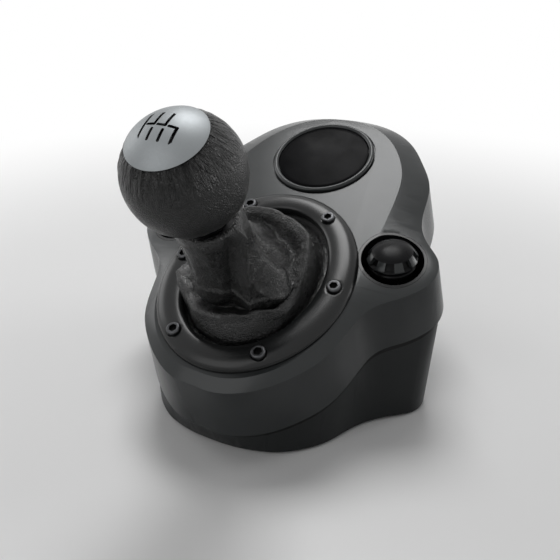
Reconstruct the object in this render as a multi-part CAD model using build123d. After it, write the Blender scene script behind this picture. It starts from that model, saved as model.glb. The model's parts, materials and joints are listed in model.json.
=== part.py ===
from build123d import *
from math import atan2, cos, hypot, pi, radians, sin, sqrt
import os

# Desktop gear shifter, millimetres, +X right, +Y away from the driver, +Z up
# The origin is the middle of the whole shifter on the desk

# Body
body_width = 158.6
deck_length = 188.6
deck_slope_deg = 25.3
ring_centre_height = 74.0
base_length = 159.0
base_width = 160.0
base_front_reach = 41.0
shell_wall = 2.5
belt_height = 30.0
crown_drop = 5.0
belt_flare = 3.0
belt_shift = 3.5
foot_height = 1.5
seam_inset = 1.2

# Fits
slip_gap = 0.3
fit_gap = 0.05
overrun = 5.0
edge_round = 1.0

# Boot ring and boot
ring_half_width = 47.6
ring_half_length = 54.6
ring_opening_half_width = 33.0
ring_opening_half_length = 42.2
ring_rise = 4.2
deck_drop = 6.0
ring_screw_half_width = 40.0
ring_screw_front = 41.8
ring_screw_rear = 39.9
ring_screw_side = 21.6
leather = 1.4
retainer_thickness = 1.8

# Lever and knob
pivot_forward = 10.0
pivot_depth = 30.0
ball_forward = 20.3
ball_height = 76.1
ball_diameter = 47.6
shaft_diameter = 8.0
sleeve_diameter = 14.0
push_travel = 4.0
select_step_deg = 7.5
shift_throw_deg = 10.0

# Clamps
clamp_side = 58.1
clamp_ahead = 28.0
clamp_lean_deg = 14.0
well_diameter = 29.2
well_depth = 17.0
clamp_travel = 30.0
screw_diameter = 8.0

# Badge
badge_forward = 87.0
badge_diameter = 49.2
bezel_diameter = 55.4
bezel_groove = 0.8

# Fasteners
small_screw_diameter = 3.0
ring_thread_diameter = 2.5
insert_diameter = 8.0
insert_bore = 5.0

slope = radians(deck_slope_deg)
deck_front_share = 0.328
# How far the knob reaches ahead of the ring centre, and the belt behind it
seam_depth = deck_drop + belt_height
knob_reach = ball_forward * cos(slope) + ball_height * sin(slope) + ball_diameter / 2
belt_reach = (deck_length * (1 - deck_front_share) + belt_flare - belt_shift) * cos(
    slope) + seam_depth * sin(slope)
ring_y = (knob_reach - belt_reach) / 2
deck = Plane(origin=(0, ring_y, ring_centre_height), x_dir=(1, 0, 0),
             z_dir=(0, -sin(slope), cos(slope)))


def deck_point(u, v, h):
    """A world point from a place on the sloping deck and a height over it."""
    return deck.from_local_coords(Vector(u, v, h))


# Half outlines from the front middle round the right side to the rear middle
edge_half_shares = [
    (0, 0), (0.164, 0.006), (0.328, 0.038), (0.467, 0.088), (0.567, 0.141), (0.624, 0.199),
    (0.660, 0.258), (0.700, 0.306), (0.763, 0.339), (0.851, 0.367), (0.939, 0.402),
    (1.0, 0.453), (0.984, 0.503), (0.895, 0.550), (0.826, 0.595), (0.794, 0.648),
    (0.782, 0.708), (0.757, 0.764), (0.668, 0.837), (0.530, 0.919), (0.340, 0.975),
    (0.151, 0.996), (0, 1.0)]
crease_half_shares = [
    (0, 0.030), (0.155, 0.036), (0.300, 0.064), (0.420, 0.108), (0.500, 0.156), (0.552, 0.206),
    (0.578, 0.258), (0.588, 0.304), (0.592, 0.338), (0.595, 0.370), (0.598, 0.404),
    (0.600, 0.452), (0.602, 0.502), (0.604, 0.548), (0.606, 0.592), (0.606, 0.645),
    (0.600, 0.704), (0.580, 0.758), (0.515, 0.826), (0.405, 0.893), (0.262, 0.941),
    (0.120, 0.962), (0, 0.966)]
base_half_shares = [
    (0, 0), (0.150, 0.004), (0.300, 0.022), (0.412, 0.050), (0.512, 0.092), (0.600, 0.150),
    (0.665, 0.220), (0.725, 0.272), (0.785, 0.308), (0.862, 0.343), (0.945, 0.378),
    (0.990, 0.425), (0.985, 0.480), (0.915, 0.532), (0.840, 0.580), (0.790, 0.635),
    (0.760, 0.695), (0.725, 0.755), (0.640, 0.832), (0.505, 0.915), (0.325, 0.972),
    (0.145, 0.995), (0, 1.0)]
crown_rear_share = 0.6

deck_front = -deck_front_share * deck_length


def closed(half, half_width, front, length):
    """The whole outline as points, counter-clockwise from the front middle."""
    right = [(half_width * a, front + length * b) for a, b in half]
    left = [(-x, y) for x, y in reversed(right[1:-1])]
    return right + left


def inset(points, distance):
    """The outline moved inwards, each point along its own normal."""
    moved = []
    for i, (x, y) in enumerate(points):
        before = points[i - 1]
        after = points[(i + 1) % len(points)]
        dx = after[0] - before[0]
        dy = after[1] - before[1]
        size = hypot(dx, dy)
        moved.append((x - distance * dy / size, y + distance * dx / size))
    return moved


def marks(points):
    """Spline parameters that every outline shares, from the lengths of one of them."""
    total = [0]
    for i, (x, y) in enumerate(points):
        after = points[(i + 1) % len(points)]
        total.append(total[-1] + hypot(after[0] - x, after[1] - y))
    return [t / total[-1] for t in total]


edge_outline = closed(edge_half_shares, body_width / 2, deck_front, deck_length)
crease_outline = closed(crease_half_shares, body_width / 2, deck_front, deck_length)
seam_outline = [(x, y - belt_shift) for x, y in inset(edge_outline, -belt_flare)]
base_outline = closed(base_half_shares, base_width / 2, ring_y - base_front_reach, base_length)
shared_marks = marks(edge_outline)


def edge_depth(v):
    """Depth of the top edge below the screw plane: a little more towards the rear."""
    share = (v - deck_front) / deck_length
    return deck_drop + crown_drop * (crown_rear_share + (1 - crown_rear_share) * share)


def loop(points):
    """A closed smooth curve through world points, cut into one edge for each step."""
    whole = Edge.make_spline(points, periodic=True, parameters=shared_marks)
    return [whole.trim(start, end) for start, end in zip(shared_marks, shared_marks[1:])]


def body_between(loops):
    """A solid with straight walls from each closed curve to the next one."""
    faces = [Face(Wire(loops[0])), Face(Wire(loops[-1]))]
    for first, second in zip(loops, loops[1:]):
        faces += [Face.make_surface_from_curves(a, b) for a, b in zip(first, second)]
    return Solid(Shell(faces))


def deck_loop(outline, depth):
    """A closed curve on a plane along the deck."""
    return loop([deck_point(x, y, -depth) for x, y in outline])


def edge_loop(outline, lowered):
    """The closed curve of the top edge, which is not flat."""
    return loop([deck_point(x, y, -edge_depth(y) - lowered) for x, y in outline])


def floor_loop(outline, height):
    """A closed curve on a level plane."""
    return loop([Vector(x, y, height) for x, y in outline])


def turned(radius, height, bottom, plane=deck, at=(0, 0)):
    """A round bar standing on a plane."""
    centre = Pos(at[0], at[1], bottom + height / 2)
    return plane * (centre * Cylinder(radius, height))


def oval(half_width, half_length, bottom, height, centre=(0, 0)):
    """An oval block on the deck."""
    face = Plane(deck.from_local_coords(Vector(centre[0], centre[1], bottom)),
                 x_dir=deck.x_dir, z_dir=deck.z_dir) * Ellipse(half_width, half_length)
    return extrude(face, height)


# Lever frame: origin at the pivot, z along the lever
lean = atan2(ball_forward - pivot_forward, ball_height + pivot_depth)
lever_length = hypot(ball_forward - pivot_forward, ball_height + pivot_depth)
lever = Plane(origin=deck_point(0, -pivot_forward, -pivot_depth), x_dir=(1, 0, 0),
              z_dir=(0, -sin(slope + lean), cos(slope + lean)))
ball_radius = ball_diameter / 2

# Clamp frames: origin on the wing at the well, z along the clamp screw
clamp_lean = radians(clamp_lean_deg)
wing_drop_share = 0.5
clamp_drop = deck_drop + crown_drop * wing_drop_share
clamp_v = (clamp_ahead - clamp_drop * sin(slope)) / cos(slope)


def clamp_plane(side):
    """The frame of the clamp on one side, -1 for left and 1 for right."""
    return Plane(origin=deck_point(side * clamp_side, clamp_v, -clamp_drop), x_dir=(1, 0, 0),
                 z_dir=(0, -sin(clamp_lean), cos(clamp_lean)))


parts = {}

# Posts that tie the shells, as places on the desk measured from the ring centre
post_places_shares = [(0.2375, -0.10), (0.30, 0.44), (0.25, 0.61)]
post_radius = 4.2
post_head_radius = 3.1
post_head_gap = 0.2
post_bite = 8.0
tie_places = [(side * base_width * a, ring_y + base_length * b)
              for a, b in post_places_shares for side in (-1, 1)]

# Upper shell
upper_outer = body_between([deck_loop(crease_outline, deck_drop), edge_loop(edge_outline, 0),
                            deck_loop(seam_outline, seam_depth)])
upper_inner = body_between(
    [deck_loop(inset(crease_outline, shell_wall / 2), deck_drop + shell_wall),
     edge_loop(inset(edge_outline, shell_wall), shell_wall / 2),
     deck_loop(inset(seam_outline, shell_wall), seam_depth + overrun)])
deck_opening_inset = 3.0
deck_opening_half_width = ring_opening_half_width + deck_opening_inset
deck_opening_half_length = ring_opening_half_length + deck_opening_inset - edge_round
cup_wall = 1.4
well_radius = well_diameter / 2
well_hole_radius = well_radius + cup_wall + slip_gap / 2
bezel_recess_depth = 1.2

posts_above = []
for x, y in tie_places:
    posts_above.append(Pos(x, y, ring_centre_height) * Cylinder(post_radius, 2 * ring_centre_height))
upper_shell = upper_outer - upper_inner
below_seam = deck * (Pos(0, 0, -seam_depth - body_width) * Box(4 * body_width, 4 * body_width,
                                                              2 * body_width))
for post in posts_above:
    upper_shell += (post & upper_outer) - below_seam
upper_shell -= oval(deck_opening_half_width, deck_opening_half_length, -deck_drop - overrun,
                    2 * overrun)
upper_shell -= turned(bezel_diameter / 2 + bezel_groove, overrun, -deck_drop - bezel_recess_depth,
                      at=(0, badge_forward))
for side in (-1, 1):
    upper_shell -= turned(well_hole_radius, well_depth + 2 * overrun, -well_depth - overrun,
                          clamp_plane(side))

# Boot ring screws: six places round the oval
ring_screw_places = [(-ring_screw_half_width, 0), (ring_screw_half_width, 0)]
for side in (-1, 1):
    ring_screw_places.append((side * ring_screw_side, -ring_screw_front))
    ring_screw_places.append((side * ring_screw_side, ring_screw_rear))
ring_screw_shank = ring_thread_diameter / 2
ring_head_radius = 3.3
ring_head_height = 3.0
ring_head_sink = 1.2
hex_across = 3.6
hex_depth = 1.6
for u, v in ring_screw_places:
    upper_shell -= turned(ring_screw_shank + slip_gap, 2 * overrun, -deck_drop - overrun, at=(u, v))

# Boot ring
ring_top = -deck_drop + ring_rise
bead_round = ring_rise - edge_round
boot_ring = oval(ring_half_width, ring_half_length, -deck_drop, ring_rise)
boot_ring = fillet(boot_ring.edges().group_by(SortBy.LENGTH)[-1].sort_by(Axis.Z)[-1], bead_round)
ring_hole = oval(ring_opening_half_width, ring_opening_half_length, -deck_drop - overrun,
                 ring_rise + 2 * overrun)
boot_ring -= ring_hole
for u, v in ring_screw_places:
    boot_ring -= turned(ring_screw_shank + fit_gap, ring_rise + overrun, -deck_drop - edge_round,
                        at=(u, v))
    boot_ring -= turned(ring_head_radius + fit_gap, overrun, ring_top - ring_head_sink, at=(u, v))

# Retaining frame under the deck
retainer_top = -deck_drop - shell_wall
retainer_margin = 5.0
retainer = oval(ring_screw_half_width + retainer_margin, ring_half_length - edge_round,
                retainer_top - retainer_thickness, retainer_thickness)
retainer -= oval(ring_opening_half_width + edge_round, ring_opening_half_length - edge_round,
                 retainer_top - overrun, 2 * overrun)
for x, y in tie_places:
    retainer -= Pos(x, y, ring_centre_height) * Cylinder(post_radius + slip_gap,
                                                         2 * ring_centre_height)
screws = []
for u, v in ring_screw_places:
    retainer -= turned(ring_screw_shank + fit_gap, 2 * overrun, retainer_top - overrun, at=(u, v))
    head_bottom = ring_top - ring_head_sink
    head = turned(ring_head_radius, ring_head_height, head_bottom, at=(u, v))
    head = chamfer(head.edges().sort_by(Axis.Z)[-1:], ring_head_height / 5)
    socket_face = Plane(deck_point(u, v, head_bottom + ring_head_height - hex_depth),
                        x_dir=deck.x_dir, z_dir=deck.z_dir) * RegularPolygon(
                            hex_across / 2, 6, major_radius=False)
    head -= extrude(socket_face, hex_depth + overrun)
    shank_length = head_bottom - retainer_top + retainer_thickness
    screws.append(head + turned(ring_screw_shank, shank_length, retainer_top - retainer_thickness,
                                at=(u, v)))

# Badge
badge_dome = 0.9
badge_floor = -deck_drop - bezel_recess_depth
bezel_height = 3.0
bezel = turned(bezel_diameter / 2, bezel_height, badge_floor, at=(0, badge_forward))
bezel = chamfer(bezel.edges().sort_by(Axis.Z)[-1:], edge_round)
bezel -= turned(badge_diameter / 2 + slip_gap, 2 * overrun, badge_floor - overrun,
                at=(0, badge_forward))
badge_height = bezel_height - badge_dome
badge = turned(badge_diameter / 2, badge_height, badge_floor, at=(0, badge_forward))
badge = fillet(badge.edges().sort_by(Axis.Z)[-1:], badge_dome)

# Lower shell
lower_top = inset(seam_outline, seam_inset)
lower_outer = body_between([deck_loop(lower_top, seam_depth),
                            floor_loop(base_outline, foot_height)])
lower_inner = body_between(
    [deck_loop(inset(lower_top, shell_wall), seam_depth - edge_round),
     floor_loop(inset(base_outline, shell_wall), foot_height - edge_round)])
lower_shell = lower_outer - lower_inner
plate_thickness = 3.0
plate_top = foot_height + plate_thickness
above_plate = Pos(0, 0, plate_top + body_width) * Box(4 * body_width, 4 * body_width,
                                                      2 * body_width)
rib_reach = 22.0
rib_thickness = 2.0
for post, (x, y) in zip(posts_above, tie_places):
    outward = x + (rib_reach if x > 0 else -rib_reach) / 2
    rib = Pos(outward, y, ring_centre_height) * Box(rib_reach, rib_thickness,
                                                   2 * ring_centre_height)
    lower_shell += (post + rib) & lower_outer & above_plate
plate_gap = shell_wall + slip_gap
base_plate = body_between(
    [deck_loop(inset(lower_top, plate_gap), seam_depth - edge_round),
     floor_loop(inset(base_outline, plate_gap), foot_height - edge_round)])
slab = Pos(0, 0, foot_height + plate_thickness / 2) * Box(4 * body_width, 4 * body_width,
                                                          plate_thickness)
base_plate = base_plate & slab

# Screws that tie the shells, down in deep counterbored posts
tie_screws = []
tie_head_height = 2.4
tie_radius = small_screw_diameter / 2
for x, y in tie_places:
    seam_z = deck_point(0, 0, -seam_depth).Z + (y - deck_point(0, 0, -seam_depth).Y) * (
        sin(slope) / cos(slope))
    head_top = seam_z - post_bite
    hole = Pos(x, y, head_top / 2) * Cylinder(post_head_radius + post_head_gap, head_top)
    lower_shell -= hole
    base_plate -= hole
    bore = Pos(x, y, seam_z) * Cylinder(tie_radius + fit_gap, 4 * post_bite)
    lower_shell -= bore
    upper_shell -= Pos(x, y, seam_z + post_bite / 2) * Cylinder(tie_radius + fit_gap,
                                                               post_bite + overrun)
    screw = Pos(x, y, head_top + post_bite) * Cylinder(tie_radius, 2 * post_bite)
    screw += Pos(x, y, head_top - tie_head_height / 2) * Cylinder(post_head_radius,
                                                                  tie_head_height)
    tie_screws.append(screw)

# Base screws into short blocks of the lower shell, and rubber feet
plate_places_shares = [(0.13, -0.20), (0.4375, 0.214), (0.31, 0.52), (0.10, 0.685)]
plate_screws = []
block_radius = 4.0
block_height = 9.0
plate_head_height = 1.5
rib_spread_share = 0.08
rib_middle_share = 0.15
for a, b in plate_places_shares:
    for side in (-1, 1):
        x = side * base_width * a
        y = ring_y + base_length * b
        block = Pos(x, y, plate_top + block_height / 2) * Cylinder(block_radius, block_height)
        rib = Pos(x * (1 + rib_spread_share), y + (b - rib_middle_share) * block_height,
                  plate_top + block_height / 2)
        lower_shell += (block + rib * Cylinder(block_radius, block_height)) & lower_outer
        bore = Pos(x, y, plate_top) * Cylinder(tie_radius + fit_gap, 2 * block_height)
        lower_shell -= bore
        base_plate -= bore
        seat = Pos(x, y, foot_height + plate_head_height / 2)
        base_plate -= seat * Cylinder(post_head_radius + slip_gap / 2, plate_head_height)
        screw = seat * Cylinder(post_head_radius, plate_head_height)
        shank = block_height - edge_round
        screw += Pos(x, y, foot_height + plate_head_height + shank / 2) * Cylinder(tie_radius, shank)
        plate_screws.append(screw)

foot_radius = 9.0
foot_thickness = 2.6
foot_places_shares = [(0.11, -0.085), (0.38, 0.145), (0.14, 0.61)]
feet = []
for a, b in foot_places_shares:
    for side in (-1, 1):
        place = Pos(side * base_width * a, ring_y + base_length * b, foot_thickness / 2)
        base_plate -= place * Cylinder(foot_radius + slip_gap / 2, foot_thickness)
        feet.append(fillet((place * Cylinder(foot_radius, foot_thickness)).edges().sort_by(
            Axis.Z)[:1], foot_height / 3))

# Threaded inserts for fixing the shifter to a stand
insert_height = 8.0
insert_flange = 1.2
insert_places_shares = [(0.11, 0.25), (0.11, 0.51)]
boss_radius = insert_diameter / 2 + shell_wall
inserts = []
for a, b in insert_places_shares:
    for side in (-1, 1):
        x = side * base_width * a
        y = ring_y + base_length * b
        base_plate += Pos(x, y, foot_height + insert_height / 2) * Cylinder(boss_radius,
                                                                          insert_height)
        base_plate -= Pos(x, y, foot_height + insert_height / 2) * Cylinder(
            insert_diameter / 2, insert_height)
        tube = Pos(x, y, foot_height + insert_height / 2) * Cylinder(insert_diameter / 2,
                                                                   insert_height)
        inserts.append(tube - Pos(x, y, foot_height + insert_height / 2) * Cylinder(
            insert_bore / 2, insert_height))

# Lever parts, along the lever frame
hub_width = 16.0
hub_depth = 12.0
hub_half_height = 7.0
hub_room = 4.0
yoke_wall = 4.5
yoke_half_height = 5.0
yoke_inner_width = hub_width + 2 * hub_room
yoke_inner_depth = hub_depth + 2 * hub_room + edge_round
yoke_width = yoke_inner_width + 2 * yoke_wall
yoke_depth = yoke_inner_depth + 2 * yoke_wall
axle_radius = 2.0
pin_radius = 2.5
bore_radius = shaft_diameter / 2 + fit_gap
sleeve_entry = 7.0
sleeve_top = lever_length - ball_radius + sleeve_entry
socket_room = 2.0
socket_top = sleeve_top + push_travel + socket_room
hub_floor = 2.5
spring_floor = axle_radius + hub_floor
shaft_bottom = 20.0
finger_radius = 1.0
gate_drop = 26.0
gate_thickness = 1.6


def bar(radius, low, high, plane=lever):
    """A round bar along a frame's z axis between two heights."""
    return plane * (Pos(0, 0, (low + high) / 2) * Cylinder(radius, high - low))


def lever_box(width, depth, low, high, x=0, y=0):
    """A block in the lever frame between two heights."""
    return lever * (Pos(x, y, (low + high) / 2) * Box(width, depth, high - low))


def cross_pin(radius, low, high, along_x):
    """A round pin across the lever frame, along x or along y."""
    turn = Rot(0, 90, 0) if along_x else Rot(90, 0, 0)
    middle = (low + high) / 2
    place = Pos(middle, 0, 0) if along_x else Pos(0, middle, 0)
    return lever * (place * turn * Cylinder(radius, high - low))


hub = lever_box(hub_width, hub_depth, -hub_half_height, hub_half_height)
hub += bar(sleeve_diameter / 2, 0, sleeve_top)
hub -= cross_pin(axle_radius + fit_gap, -yoke_width, yoke_width, True)
hub -= bar(bore_radius, spring_floor, sleeve_top + overrun)
hub -= bar(finger_radius, -hub_half_height - edge_round, -axle_radius - edge_round)
finger = bar(finger_radius, -gate_drop - gate_thickness, -axle_radius - edge_round)

yoke = lever_box(yoke_width, yoke_depth, -yoke_half_height, yoke_half_height)
yoke -= lever_box(yoke_inner_width, yoke_inner_depth, -overrun - yoke_half_height,
                  overrun + yoke_half_height)
yoke -= cross_pin(axle_radius + fit_gap, -yoke_width, yoke_width, True)
axle = cross_pin(axle_radius, -yoke_width / 2, yoke_width / 2, True)

# Chassis: a frame round the yoke, on two cheeks that stand on the base plate
frame_room = 3.6
frame_wall = 4.0
frame_inner_half = yoke_width / 2 + frame_room
frame_inner_depth = yoke_depth / 2 + frame_room
frame_half = frame_inner_half + frame_wall
frame_half_depth = frame_inner_depth + frame_wall
frame_top = 8.0
frame_bottom = gate_drop - gate_thickness
pins = []
pin_root = yoke_depth / 2 - yoke_wall
for side in (-1, 1):
    low = min(side * pin_root, side * (frame_half_depth + edge_round))
    high = max(side * pin_root, side * (frame_half_depth + edge_round))
    pin = cross_pin(pin_radius, low, high, False)
    yoke -= pin
    pins.append(pin)
chassis = lever_box(2 * frame_half, 2 * frame_half_depth, -frame_bottom, frame_top)
chassis -= lever_box(2 * frame_inner_half, 2 * frame_inner_depth, -frame_bottom - overrun,
                     frame_top + overrun)
cheek_thickness = 3.0
cheek_foot = 7.5
cheek_front = lever.from_local_coords(Vector(0, -frame_half_depth, -frame_bottom))
cheek_rear = lever.from_local_coords(Vector(0, frame_half_depth, -frame_bottom))
cheek_rear_top = lever.from_local_coords(Vector(0, frame_half_depth, frame_top))
cheek_front_top = lever.from_local_coords(Vector(0, -frame_half_depth, frame_top))
cheek_lines = [(cheek_front.Y, plate_top), (cheek_rear_top.Y, plate_top),
               (cheek_rear_top.Y, cheek_rear.Z), (cheek_rear_top.Y, cheek_rear_top.Z),
               (cheek_front_top.Y, cheek_front_top.Z)]
chassis_screws = []
for side in (-1, 1):
    inner = side * frame_half
    outer = side * (frame_half + cheek_thickness)
    cheek_plane = Plane(origin=(min(inner, outer), 0, 0), x_dir=(0, 1, 0), z_dir=(1, 0, 0))
    cheek = extrude(cheek_plane * make_face(Polyline(*cheek_lines, close=True)), cheek_thickness)
    chassis += cheek
    flange = Pos(outer + side * cheek_foot / 2, (cheek_front.Y + cheek_rear_top.Y) / 2,
                 plate_top + cheek_thickness / 2)
    chassis += flange * Box(cheek_foot, cheek_rear_top.Y - cheek_front.Y, cheek_thickness)
    for end in (cheek_front.Y + cheek_foot / 2, cheek_rear_top.Y - cheek_foot / 2):
        x = outer + side * cheek_foot / 2
        bore = Pos(x, end, plate_top) * Cylinder(tie_radius, 4 * plate_thickness)
        chassis -= bore
        base_plate -= bore
        base_plate -= Pos(x, end, foot_height + plate_head_height / 2) * Cylinder(
            post_head_radius + slip_gap / 2, plate_head_height)
        screw = Pos(x, end, foot_height + plate_head_height / 2) * Cylinder(
            post_head_radius, plate_head_height)
        length = plate_thickness - plate_head_height + cheek_thickness
        screw += Pos(x, end, foot_height + plate_head_height + length / 2) * Cylinder(
            tie_radius, length)
        chassis_screws.append(screw)
chassis -= cross_pin(pin_radius + fit_gap, -2 * yoke_depth, 2 * yoke_depth, False)

# Gate plate: three full lanes and one half lane joined by a cross lane
lane_pitch = gate_drop * sin(radians(select_step_deg))
lane_reach = gate_drop * sin(radians(shift_throw_deg)) + finger_radius + slip_gap
lane_width = 2 * finger_radius + 2 * slip_gap
gate_plate = lever_box(2 * frame_half, 2 * frame_half_depth, -gate_drop, -frame_bottom)
for column in (-2, -1, 0, 1):
    front = 0 if column == -2 else -lane_reach
    gate_plate -= lever_box(lane_width, lane_reach - front, -gate_drop - overrun,
                            -frame_bottom + overrun, column * lane_pitch, (lane_reach + front) / 2)
gate_plate -= lever_box(3 * lane_pitch + lane_width, lane_width, -gate_drop - overrun,
                        -frame_bottom + overrun, -lane_pitch / 2)
gate_screws = []
corner_share = 0.5
for sx in (-1, 1):
    for sy in (-1, 1):
        place = Pos(sx * (frame_half - frame_wall * corner_share),
                    sy * (frame_half_depth - frame_wall * corner_share), 0)
        shank_radius = tie_radius / 2
        depth = 2 * gate_thickness + frame_wall
        hole = lever * (place * Pos(0, 0, -gate_drop + depth / 2) * Cylinder(shank_radius, depth))
        chassis -= hole
        gate_plate -= hole
        head = lever * (place * Pos(0, 0, -gate_drop - gate_thickness / 2) * Cylinder(
            frame_wall * corner_share, gate_thickness))
        gate_screws.append(hole + head)

# Shaft and return spring
shaft_top = lever_length + ball_radius / 2
shaft = bar(shaft_diameter / 2, shaft_bottom, shaft_top)
shaft = chamfer(shaft.edges().filter_by(GeomType.CIRCLE).sort_by(Axis.Z)[-1:], edge_round / 2)
spring_wire = 0.9
spring_turns = 8
spring_low = spring_floor + slip_gap + spring_wire / 2
spring_high = shaft_bottom - slip_gap - spring_wire / 2
spring_radius = bore_radius - slip_gap - spring_wire / 2
spring_pitch = (spring_high - spring_low) / spring_turns
coil_path = lever * Helix(spring_pitch, spring_high - spring_low, spring_radius,
                          center=(0, 0, spring_low))
coil_start = Plane(coil_path @ 0, z_dir=coil_path % 0)
return_spring = sweep(coil_start * Circle(spring_wire / 2), path=coil_path)
print("return spring gap between turns", round(spring_pitch - spring_wire, 3))

# Knob
cap_height_share = 0.75
cap_plane_height = lever_length + ball_radius * cap_height_share
cap_radius = ball_radius * sqrt(1 - cap_height_share ** 2)
cap_sink = 3.0
collar_height = 6.0
collar_radius = 10.5
socket_radius = sleeve_diameter / 2 + slip_gap + fit_gap
core_radius = ball_radius - leather
ball_centre = lever.from_local_coords(Vector(0, 0, lever_length))
collar_bottom = lever_length - ball_radius - edge_round
collar_top = collar_bottom + collar_height


def ball(radius):
    """A ball about the knob's centre."""
    return Pos(ball_centre) * Sphere(radius)


above_cap = bar(ball_diameter, cap_plane_height, cap_plane_height + ball_diameter)
cap_bed = bar(cap_radius - leather, cap_plane_height - cap_sink, cap_plane_height + ball_diameter)
socket_hole = bar(socket_radius, collar_bottom - overrun, socket_top)
collar_hole = bar(collar_radius + fit_gap, collar_bottom - overrun, collar_top)
knob_core = ball(core_radius) - above_cap - cap_bed - socket_hole - collar_hole
knob_core -= bar(bore_radius, collar_bottom, shaft_top)
knob_cover = ball(ball_radius) - ball(core_radius) - above_cap - collar_hole
knob_cover -= cap_bed
knob_collar = bar(collar_radius, collar_bottom, collar_top) - bar(
    socket_radius, collar_bottom - overrun, collar_top + overrun)
cap_crown = ball_radius * (1 - cap_height_share)
cap_sphere_radius = (cap_radius ** 2 + cap_crown ** 2) / (2 * cap_crown)
cap_edge = 0.2
crown_centre = cap_plane_height + cap_edge + cap_crown - cap_sphere_radius
crown_ball = lever * (Pos(0, 0, crown_centre) * Sphere(cap_sphere_radius))
knob_cap = bar(cap_radius, cap_plane_height, cap_plane_height + ball_radius) & crown_ball
knob_cap += bar(cap_radius - leather - fit_gap, cap_plane_height - cap_sink, cap_plane_height)
knob_cap -= bar(shaft_diameter / 2 + slip_gap, cap_plane_height - cap_sink - overrun,
                shaft_top + slip_gap)

# Gear pattern cut into the cap, as shares of its radius
groove_width = 1.3
groove_depth = 0.8
column_places_shares = (-0.42, -0.14, 0.14, 0.42)
column_reach_share = 0.40
cap_top = crown_centre + cap_sphere_radius
groove_floor = lever * (Pos(0, 0, crown_centre) * Sphere(cap_sphere_radius - groove_depth))
groove_low = cap_plane_height + cap_edge / 2
pattern = lever_box(cap_radius * (column_places_shares[3] - column_places_shares[0]),
                    groove_width, groove_low, cap_top + overrun)
for place in column_places_shares:
    reach = cap_radius * column_reach_share
    half = place == column_places_shares[3]
    length = reach if half else 2 * reach
    middle = -reach / 2 if half else 0
    pattern += lever_box(groove_width, length + groove_width, groove_low, cap_top + overrun,
                         place * cap_radius, middle)
knob_cap -= pattern - groove_floor

# Boot: oval sections up from the hem, split where the upper cuff begins
hem_half_width_share = 1.055
hem_half_length_share = 1.025
boot_sections_shares = [
    (hem_half_width_share, hem_half_length_share, 0.0, -0.110),
    (hem_half_width_share, hem_half_length_share, 0.0, -0.092),
    (0.960, 0.960, 0.0, -0.086), (0.93, 0.92, 0.0, 0.0), (0.86, 0.78, 0.01, 0.10),
    (0.68, 0.60, -0.12, 0.21), (0.54, 0.44, -0.28, 0.35)]
cuff_sections_shares = [
    (0.54, 0.44, -0.28, 0.35), (0.47, 0.37, -0.355, 0.50), (0.43, 0.336, -0.41, 0.665)]
boot_rise = ball_height - leather


def boot_wire(a, b, back, up, thinner, lift=0):
    """One oval of the boot on a plane along the deck."""
    place = deck_point(0, back * ring_opening_half_length, up * boot_rise + lift)
    oval_plane = Plane(place, x_dir=deck.x_dir, z_dir=deck.z_dir)
    shape = Ellipse(ring_opening_half_width * a - thinner, ring_opening_half_length * b - thinner)
    return (oval_plane * shape).face().outer_wire()


def boot_shell(sections):
    """A thin closed skin through the ovals, open at both ends."""
    outer = Solid.make_loft([boot_wire(*s, 0) for s in sections], ruled=True)
    wires = [boot_wire(*s, leather) for s in sections]
    first = boot_wire(*sections[0], leather, -edge_round / 5)
    last = boot_wire(*sections[-1], leather, edge_round / 5)
    inner = Solid.make_loft([first] + wires[1:-1] + [last], ruled=True)
    return outer - inner


boot_skirt = boot_shell(boot_sections_shares)
boot_cuff = boot_shell(cuff_sections_shares)

# Band that ties the boot to the sleeve
band_height = 4.0
band_top = collar_bottom - push_travel - slip_gap
band_radius = ring_opening_half_width * cuff_sections_shares[-1][0] - leather - 2 * slip_gap
band = bar(band_radius, band_top - band_height, band_top) - bar(
    sleeve_diameter / 2 + fit_gap, band_top - 2 * band_height, band_top + overrun)

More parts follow.
